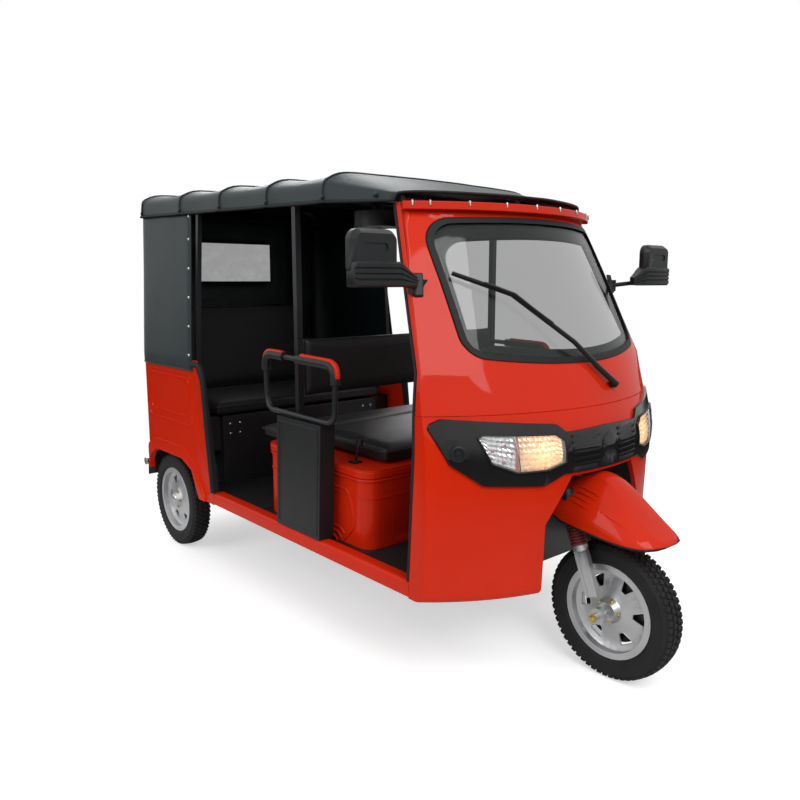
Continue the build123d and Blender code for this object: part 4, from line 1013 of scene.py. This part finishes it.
# %% Lamp ribs and rims
ribs, rims = [], []
outline = [(y, z + 0.001) for y, z in lens_low] + [(y, z - 0.001) for y, z in reversed(lens_high)]
for side in (-1, 1):
    ribs.append([nose_point(side * (0.391 + 0.014 * k / 6), 0.800 + 0.118 * k / 6, 0.0125) for k in range(7)])
    rim = []
    for (y0, z0), (y1, z1) in zip(outline, outline[1:] + outline[:1]):
        rim += [nose_point(side * (y0 + (y1 - y0) * k / 5), z0 + (z1 - z0) * k / 5, 0.0135) for k in range(5)]
    rims.append(rim)
tube("lamp_ribs", ribs, 0.0035, "bright_steel")
tube("lamp_rims", rims, 0.0034, "black_plastic", closed=True)

# %% Lamp bulbs and the panel's round bosses
bulb_profile = [(0.0055, 0), (0.0055, 0.005), (0.0044, 0.007), (0.0038, 0.009), (0.002, 0.0105)]
bulb = turned_part("bulb", bulb_profile, 14)
bulbs = [(nose_point(side * y, z, 0.002), (1, side * 0.45, 0), (0, 1, 0))
         for side in (-1, 1) for y, z in ((0.430, 0.888), (0.470, 0.870), (0.436, 0.832))]
set_parts("lamp_bulbs", bulb, bulbs, "red_lens")
boss = turned_part("boss", [(0.027, 0), (0.027, 0.0035), (0.0245, 0.0050), (0.0185, 0.0050), (0.0165, 0.0012),
                            (0.0090, 0.0008), (0.0080, 0.0040), (0.0030, 0.0048)], 24)
bosses = [(nose_point(side * 0.572, 0.868, 0.0122), (1, side * 0.756, 0), (0, 1, 0)) for side in (-1, 1)]
set_parts("panel_bosses", boss, bosses, "black_plastic")

# %% [markdown]
# ## Windscreen edge
# The pane has a black edge: narrow at the sides, and wide along the top, where it stands partly for the
# thick rubber of the pane and partly is painted shade of the dark cabin roof seen through the glass.  It is a
# band of faces just inside the glass, between the opening's outline and a smaller one.


# %% Black edge of the pane, with painted shade along the top
def screen_outline(at_sides, below, above):
    """Front view (y, z) of the pane's outline, drawn in by margins at its sides, below and above."""
    half_low, half_high = 0.490 - at_sides, 0.482 - at_sides
    low, low_mid = 1.172 + below, 1.135 + below
    high, high_mid = 1.632 - above, 1.645 - above
    corner_low, corner_high = 0.055, 0.085
    line = [(half_low * k / 14, low_mid + (low - low_mid) * (k / 14) ** 2) for k in range(12)]
    start = line[-1]
    side_low, side_high = start[1] + corner_low, high - corner_high
    quarter = [radians(90 * k / 8) for k in range(1, 9)]
    line += [(start[0] + (half_low - start[0]) * sin(angle), start[1] + corner_low * (1 - cos(angle)))
             for angle in quarter]
    line += [(half_low + (half_high - half_low) * k / 8, side_low + (side_high - side_low) * k / 8)
             for k in range(1, 9)]
    line += [(half_high - corner_high * (1 - cos(angle)), side_high + corner_high * sin(angle))
             for angle in quarter]
    last = line[-1]
    line += [(last[0] * (1 - k / 12), high_mid + (last[1] - high_mid) * (1 - k / 12) ** 2)
             for k in range(1, 13)]
    return line + [(-y, z) for y, z in reversed(line[1:-1])]


inside_glass = -0.0128
# The wide top margin makes the band of painted shade: the dark cabin roof seen through the glass, painted
# black.
edge_pairs = list(zip(screen_outline(0.016, 0.016, 0.016), screen_outline(0.044, 0.046, 0.078)))
rows = []
for share in (0, 0.34, 0.67, 1.0):
    row = [nose_point(outer[0] + (inner[0] - outer[0]) * share, outer[1] + (inner[1] - outer[1]) * share,
                      inside_glass) for outer, inner in edge_pairs]
    rows.append(row + row[:1])
edge_painted_shade = facing_out(grid_object("windscreen_edge", rows))
edge_painted_shade.data.shade_smooth()
walled(edge_painted_shade, 0.0012, -1)
dress(edge_painted_shade, "edge_painted_shade", slot="windscreen")
print("windscreen edge:", len(edge_painted_shade.data.polygons), "faces")

# %% [markdown]
# ## Cushions
# Seat cushions are foam under stretched vinyl.  Each starts as the node's own volume, slightly
# shrunk, is remeshed into even squares, and is blown up a little as cloth, so that it crowns between
# its edges.  The growth is capped, so that a cushion stays in its place.

# %% Padding
cloth_frames = 20
pressure = 4


def blown_up(pad):
    """Points of a closed mesh after a short cloth run with pressure inside and no weight."""
    cloth = pad.modifiers.new("cloth", "CLOTH")
    cloth.settings.quality = 4
    cloth.settings.use_pressure = True
    cloth.settings.uniform_pressure_force = pressure
    cloth.settings.effector_weights.gravity = 0
    cloth.point_cache.frame_start, cloth.point_cache.frame_end = 1, cloth_frames
    for frame_number in range(1, cloth_frames + 1):
        scene.frame_set(frame_number)
    moved = [vert.co.copy() for vert in shown_mesh(pad).vertices]
    pad.modifiers.clear()
    scene.frame_set(1)
    return moved


def padded_piece(name, node, cap, voxel):
    """Cushion that stands for a node: remeshed, inflated as cloth and smoothed."""
    pad = merged_copy(node)
    pad.name = name
    low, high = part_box(node)
    centre = (low + high) / 2
    size = high - low
    for vert in pad.data.vertices:
        for axis in range(3):
            vert.co[axis] = centre[axis] + (vert.co[axis] - centre[axis]) * (1 - 1.5 * cap / size[axis])
    remesh = pad.modifiers.new("squares", "REMESH")
    remesh.mode = "VOXEL"
    remesh.voxel_size = voxel
    mesh = shown_mesh(pad)
    pad.modifiers.clear()
    pad.data = mesh
    for vert, last in zip(mesh.vertices, blown_up(pad)):
        shift = last - vert.co
        vert.co += shift.normalized() * min(shift.length, cap)
    work = bmesh.new()
    work.from_mesh(mesh)
    for smoothing in range(3):
        bmesh.ops.smooth_vert(work, verts=work.verts, factor=0.5, use_axis_x=True, use_axis_y=True,
                              use_axis_z=True)
    for vert in work.verts:
        for axis in range(3):
            vert.co[axis] = min(high[axis], max(low[axis], vert.co[axis]))
    work.to_mesh(mesh)
    work.free()
    mesh.shade_smooth()
    finer = pad.modifiers.new("finer", "SUBSURF")
    finer.levels = finer.render_levels = 1
    dress(pad, "seat_vinyl", node=node)
    print(name, len(mesh.vertices), "points")


for name, node, cap, voxel, fill in (("bench_pad", "bench_cushion", 0.012, 0.013, 0.7),
                                     ("bench_back_pad", "bench_backrest", 0.012, 0.014, 0.6),
                                     ("driver_pad", "driver_cushion", 0.011, 0.012, 0.7),
                                     ("facing_pad", "rear_facing_cushion", 0.010, 0.011, 0.7),
                                     ("middle_back_pad", "mid_backrest", 0.006, 0.010, 0.6)):
    padded_piece(name, node, cap, voxel)


# %% Welts round the cushions
def rounded_outline(centre, half, corner, steps=6):
    """(u, v) points round a rectangle with round corners."""
    outline = []
    for u_sign, v_sign, start in ((1, 1, 0), (-1, 1, 90), (-1, -1, 180), (1, -1, 270)):
        for k in range(steps + 1):
            angle = radians(start + 90 * k / steps)
            outline.append((centre[0] + u_sign * (half[0] - corner) + corner * cos(angle),
                            centre[1] + v_sign * (half[1] - corner) + corner * sin(angle)))
    return outline


welt_inset, welt_share, welt_corner = 0.0035, 0.70, 0.03
welts = []
for node in ("bench_cushion", "driver_cushion", "rear_facing_cushion"):
    low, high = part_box(node)
    half = ((high.x - low.x) / 2 - welt_inset, (high.y - low.y) / 2 - welt_inset)
    height = low.z + (high.z - low.z) * welt_share
    welts.append([(x, y, height) for x, y in rounded_outline((low + high) / 2, half, welt_corner, 5)])
tube("cushion_welts", welts, 0.0035, "seat_vinyl", closed=True)

# %% [markdown]
# ## Hand grips, boots and the mudguard
# The grab rails carry moulded covers with red pads on the corners that a hand reaches for.  Ribbed
# rubber boots close the fork's sliders.  The mudguard is a smooth cage of few points with firm creases
# along its crest, because a pressed guard is soft everywhere else, and it has a rubber lip.


# %% Grab rails, covers and pads
def softened(points, size=0.03, steps=5, looped=False):
    """Path with its corners rounded; a looped one has no ends."""
    points = [Vector(point) for point in points]
    line = [] if looped else [points[0]]
    corners = [points[-1]] + points + [points[0]] if looped else points
    for before, corner, after in zip(corners, corners[1:], corners[2:]):
        start = corner + (before - corner).normalized() * size
        end = corner + (after - corner).normalized() * size
        for k in range(steps + 1):
            t = k / steps
            line.append((1 - t) ** 2 * start + 2 * t * (1 - t) * corner + t * t * end)
    return line if looped else line + [points[-1]]


rail_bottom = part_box("grab_rails")[0].z + 0.011
rail_corners = [(-0.033, rail_bottom + 0.004), (0.452, rail_bottom), (0.462, 1.106), (-0.037, 1.119)]
cover_paths = [[(0.205, 1.1125), (0.461, 1.106), (0.459, 1.035)],
               [(0.110, 1.1155), (-0.037, 1.119), (-0.035, 1.050)]]
pad_paths = [[(0.235, 1.1265), (0.475, 1.1200), (0.4735, 1.060)],
             [(0.100, 1.1290), (-0.048, 1.1325), (-0.046, 1.085)]]
rail_y = 0.625


def both_sides(paths, size, steps, looped=False):
    """Softened paths of (x, z) points, once on each side of the cabin."""
    return [softened([(x, side * rail_y, z) for x, z in path], size, steps, looped)
            for side in (-1, 1) for path in paths]


rails = tube("rail_loops", both_sides([rail_corners], 0.06, 7, looped=True), 0.011, "black_metal",
             slot_of["grab_rails"], closed=True, ring_steps=16)
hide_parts("grab_rails")
tube("grip_covers", both_sides(cover_paths, 0.055, 6), 0.0190, "black_plastic", ring_steps=16)
tube("grip_pads", both_sides(pad_paths, 0.055, 6), 0.0105, "body_paint", ring_steps=12)

# %% Fork boots and collars
rake = radians(21)
steer_up = Vector((-sin(rake), 0, cos(rake)))
steer_ahead = Vector((cos(rake), 0, sin(rake)))
fork_offset, axle_height, slider_y = 0.040, 0.251, 0.092
steer_foot = Vector((1.285 - fork_offset / cos(rake), 0, axle_height))


def slider_places(height):
    """Places on both fork sliders at a height, facing up the steering axis."""
    on_axis = steer_foot + steer_up * ((height - axle_height) / cos(rake)) + steer_ahead * fork_offset
    return [(on_axis + Vector((0, side * slider_y, 0)), steer_up, steer_ahead) for side in (-1, 1)]


boot_length, boot_rings = 0.136, 13
boot_profile = []
for k in range(boot_rings):
    foot = boot_length * k / boot_rings
    boot_profile += [(0.0262, foot), (0.0312, foot + 0.0030), (0.0314, foot + 0.0062),
                     (0.0264, foot + 0.0092)]
boot_profile.append((0.0258, boot_length))
boot_pair = set_parts("boot_pair", turned_part("boot", boot_profile, 28), slider_places(0.4760), "boot",
                      "black_rubber", "steering")
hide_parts("fork_boots")
collar_profile = [(0.0240, 0), (0.0290, 0.003), (0.0290, 0.021), (0.0265, 0.024), (0.0240, 0.026)]
collar = turned_part("collar", collar_profile, 28)
set_parts("boot_collars", collar, slider_places(0.4540), "rim_silver", body="steering")

# %% Mudguard
# x, edge half width, crest half width, edge height and crown height of each section.
guard_sections = [(1.075, 0.120, 0.060, 0.595, 0.690), (1.130, 0.127, 0.052, 0.570, 0.722),
                  (1.190, 0.131, 0.044, 0.562, 0.746), (1.250, 0.132, 0.042, 0.556, 0.748),
                  (1.310, 0.132, 0.052, 0.549, 0.708), (1.368, 0.131, 0.064, 0.544, 0.652),
                  (1.420, 0.122, 0.068, 0.541, 0.604), (1.458, 0.103, 0.062, 0.541, 0.576),
                  (1.480, 0.072, 0.046, 0.543, 0.562), (1.489, 0.036, 0.024, 0.545, 0.556)]
guard_columns, crest_columns = 15, (4, 5, 9, 10)


def guard_row(section):
    """Points across one section of the mudguard, from its right edge to its left."""
    x, edge, crest, low, high = section
    tall = high - low
    side = [(edge, low), (edge * 0.985, low + tall * 0.14), (edge * 0.95, low + tall * 0.30),
            ((edge + crest) / 2, low + tall * 0.62), (crest * 1.04, high - tall * 0.11),
            (crest * 0.90, high - tall * 0.055), (crest * 0.5, high - tall * 0.02)]
    return [(x, -y, z) for y, z in side] + [(x, 0, high)] + [(x, y, z) for y, z in reversed(side)]


rows = [guard_row(section) for section in guard_sections]
rows.append([(1.4925, y * 0.85, 0.5455) for x, y, z in rows[-1]])
guard = grid_object("mudguard", rows)
guard.data.shade_smooth()
crease = guard.data.attributes.new("crease_edge", "FLOAT", "EDGE")
for edge in guard.data.edges:
    one, other = [vertex % guard_columns for vertex in edge.vertices]
    if one == other and one in crest_columns:
        crease.data[edge.index].value = 0.55
finer = guard.modifiers.new("finer", "SUBSURF")
finer.levels = finer.render_levels = 2
walled(guard, 0.003, -1)
dress(guard, "body_paint", "steering", node="front_fender")
lip = [row[0] for row in rows[:-1]] + [row[-1] for row in reversed(rows[:-1])]
tube("mudguard_lip", lip, 0.0046, "black_rubber", body="steering")


# %% Pressed lines on the mudguard's faces
def guard_face_point(x, share, side):
    """Point on a side face of the mudguard: share 0 at the crest, 1 at the edge."""
    edge, crest, low, high = at_section(guard_sections, x)
    tall = high - low
    if share < 0.5:
        y = crest * 1.04 + (edge - crest) * share
        z = high - tall * (0.11 + 0.54 * share)
    else:
        waist = (edge + crest) / 2
        y = edge * 0.95 - (0.95 * edge - waist) * (2 - 2 * share)
        z = low + tall * (0.62 - 0.64 * (share - 0.5))
    return (x, side * (y + 0.0015), z + 0.0015)


# Each line runs between two (x, share) places.
gill_lines = [((1.175 - 0.006 * k, 0.30 + 0.14 * k), (1.260 - 0.006 * k, 0.43 + 0.145 * k)) for k in range(4)]
gill_lines.append(((1.285, 0.74), (1.385, 0.60)))
gills = [[guard_face_point(start[0] + (end[0] - start[0]) * t, start[1] + (end[1] - start[1]) * t, side)
          for t in (0, 0.25, 0.5, 0.75, 1)] for side in (-1, 1) for start, end in gill_lines]
tube("mudguard_gills", gills, 0.0034, "body_paint", body="steering", taper=[0.5, 1, 1, 0.8, 0.3])

# %% [markdown]
# ## Mirrors, lamps behind and small metal
# The mirror glass, tail lamps, bolts and clips are small, but they are what shows that the vehicle
# was assembled.

# %% Mirror glass
for side, label in ((-1, "right"), (1, "left")):
    outline = rounded_outline((side * 0.798, 1.500), (0.083, 0.067), 0.030)
    glass = new_object("mirror_glass_" + label, ring_mesh("mirror_glass_" + label, [
        [(x, y, z) for y, z in outline] for x in (0.8852, 0.8840)]))
    dress(glass, "mirror", slot="bright_steel")
    print(glass.name, len(glass.data.polygons), "faces")


# %% Mirror bands
def band_mesh(name, side):
    """Grooved band that grips the foot of a mirror and reaches towards its arm."""
    middle_x, middle_z, foot_y = 0.9045, 1.437, 0.705
    ridge_x, groove_x = 0.932, 0.9275
    profile = [(0.881, 1.400), (0.925, 1.400), (ridge_x, 1.406)]
    for z in (1.420, 1.437, 1.454):
        profile += [(ridge_x, z), (groove_x, z + 0.0015), (groove_x, z + 0.0045), (ridge_x, z + 0.006)]
    profile += [(ridge_x, 1.472), (0.925, 1.478), (0.881, 1.478)]
    rings = []
    for y, size in ((0.8865, 0.80), (0.8835, 0.93), (0.876, 1.0), (0.705, 1.0), (0.690, 0.90), (0.655, 0.62),
                    (0.625, 0.42)):
        drop = (foot_y - min(y, foot_y)) * 0.25
        rings.append([(middle_x + (x - middle_x) * size, side * y, middle_z + (z - middle_z) * size - drop)
                      for x, z in profile])
    return ring_mesh(name, rings)


for side, label in ((-1, "right"), (1, "left")):
    band = new_object("mirror_band_" + label, band_mesh("mirror_band_" + label, side))
    smooth_by_angle(band.data, 40)
    bevelled(band, 0.0015)
    dress(band, "black_plastic")
plate = block_part("plate", 0.088, 0.034, 0.018, 0.003)
plates = [(nose_point(side * 0.552, 1.404, -0.001), (1, side * 0.70, 0.3), (0, 0, 1)) for side in (-1, 1)]
set_parts("mirror_plates", plate, plates, "black_plastic")

# %% Tail lamps
tail_lamps = merged_copy("tail_lamps")
smooth_by_angle(tail_lamps.data, 30)
bevelled(tail_lamps, 0.004, segments=3)
dress(tail_lamps, "red_lens", node="tail_lamps")
bands = [[(-1.4585, side * y, z) for y in (0.306, 0.33, 0.38, 0.404)]
         for side in (-1, 1) for z in (0.700, 0.765)]
tube("tail_lamp_bands", bands, 0.0022, "black_plastic")

# %% Bolts and clips
bolts = [((-0.6895, side * y, z), (1, 0, 0), (0, 1, 0))
         for side in (-1, 1) for y in (0.400, 0.455) for z in (0.650, 0.700)]
set_parts("body_bolts", bolt_mesh(0.0055, 0.005), bolts, "bright_steel")
clip = block_part("clip", 0.007, 0.020, 0.004, 0.0010)
cowl_surface = BVHTree.FromObject(skins["front_cowl_upper"], bpy.context.evaluated_depsgraph_get())
clips = []
for y in (-0.505, -0.455, -0.33, -0.19, -0.05, 0.09, 0.23, 0.36, 0.47):
    spot = cowl_surface.ray_cast(Vector((1.6, y, 1.684)), Vector((-1, 0, 0)))[0]
    clips.append((spot, (1, y * 0.7, 0), (0, 1, 0)))
set_parts("header_clips", clip, clips, "bright_steel")
axle_nuts = [((1.285, side * 0.1255, axle_height), (0, side, 0), (1, 0, 0)) for side in (-1, 1)]
set_parts("axle_nuts", bolt_mesh(0.0125, 0.012), axle_nuts, "zinc", "bright_steel", "steering")

# %% [markdown]
# ## Wiper, rubbers and beads
# Thin round bars do for everything that is bent from rod or pushed on as an edge: the wiper, the door
# rubbers, the pressed beads of the seat box and the fan's guard.  Each is a short list of points.

# %% Wiper arm and blade
arm = [(1.192, 0.100, 1.050), (1.163, 0.020, 1.118), (1.139, -0.090, 1.211), (1.075, -0.190, 1.298)]
tube("wiper_arm", arm, 0.0115, "black_plastic", "black_metal", ring_steps=12, taper=[1.0, 0.9, 0.62, 0.5])
blade = [(1.090, -0.160, 1.272), (1.052, -0.220, 1.322), (1.018, -0.280, 1.373), (0.960, -0.370, 1.411),
         (0.899, -0.455, 1.446)]
tube("wiper_blade", blade, 0.0065, "black_rubber", ring_steps=12)
tube("wiper_spine", [(x + 0.009, y, z + 0.003) for x, y, z in blade[:4]], 0.0042, "black_metal")

# %% Door edge rubbers
door_edge = [(-0.700, 0.643, 1.018), (-0.619, 0.643, 1.015), (-0.598, 0.642, 0.930), (-0.566, 0.642, 0.651),
             (-0.534, 0.642, 0.405)]
door_rubbers = [softened([(x, side * y, z) for x, y, z in door_edge]) for side in (-1, 1)]
tube("door_rubbers", door_rubbers, 0.0145, "black_rubber", ring_steps=16)

# %% Wheel liners
liner_radius, liner_z, liner_foot = 0.298, 0.345, 0.335
liner_line = [(-1.05 + liner_radius * cos(radians(a)), liner_z + liner_radius * sin(radians(a)))
              for a in range(0, 181, 12)]
liner_line = [(liner_line[0][0], liner_foot)] + liner_line + [(liner_line[-1][0], liner_foot)]
for side, label in ((-1, "right"), (1, "left")):
    liner = grid_object("wheel_liner_" + label, [[(x, side * y, z) for x, z in liner_line]
                                                 for y in (0.440, 0.4985, 0.560, 0.632)])
    liner.data.shade_smooth()
    walled(liner, 0.003)
    dress(liner, "black_plastic")
    print(liner.name, len(liner.data.polygons), "faces")

# %% Seat box beads
box_middle, panel_y = (0.185, 0), 0.5455
lip_loops = [[(x, y, z) for x, y in rounded_outline(box_middle, half, corner)] for z, half, corner in (
    (0.693, (0.3685, 0.5485), 0.064), (0.662, (0.3665, 0.5465), 0.062))]
tube("seat_box_lip", lip_loops, 0.0062, "body_paint", closed=True, ring_steps=12)
panel_beads = []
for side in (-1, 1):
    outline = [(-0.08, 0.61), (0.43, 0.61), (0.47, 0.47), (0.40, 0.40)]
    panel_beads.append(softened([(x, side * panel_y, z) for x, z in outline]))
    for k in range(3):
        louvre = [(0.30 - 0.05 * k, 0.445), (0.37 - 0.02 * k, 0.445), (0.40 - 0.02 * k, 0.425)]
        panel_beads.append(softened([(x, side * panel_y, z - 0.022 * k) for x, z in louvre], 0.012))
tube("seat_box_beads", panel_beads, 0.0042, "body_paint")

# %% Fan guard
fan = Vector((0.355, -0.330, 1.630))
guard_rings = [[fan + Vector((radius * c, radius * s, 0)) for c, s in circle(32)]
               for radius in (0.030, 0.048, 0.066, 0.084)]
spokes = [[fan + Vector((radius * c, radius * s, -0.0012)) for radius in (0.022, 0.06, 0.093)]
          for c, s in circle(12)]
tube("fan_guard_rings", guard_rings, 0.0011, "fan_plastic", closed=True)
tube("fan_guard_spokes", spokes, 0.0011, "fan_plastic")

# %% [markdown]
# ## Last step
# Any imported node that still shows gets its finish here.

# %% Last step
shown = [node for node, item in frame["nodes"].items() if not item.hide_render]
for node in shown:
    frame["nodes"][node].data.materials.clear()
    frame["nodes"][node].data.materials.append(finishes[slot_of[node]])
print("nodes shown as packed:", shown)
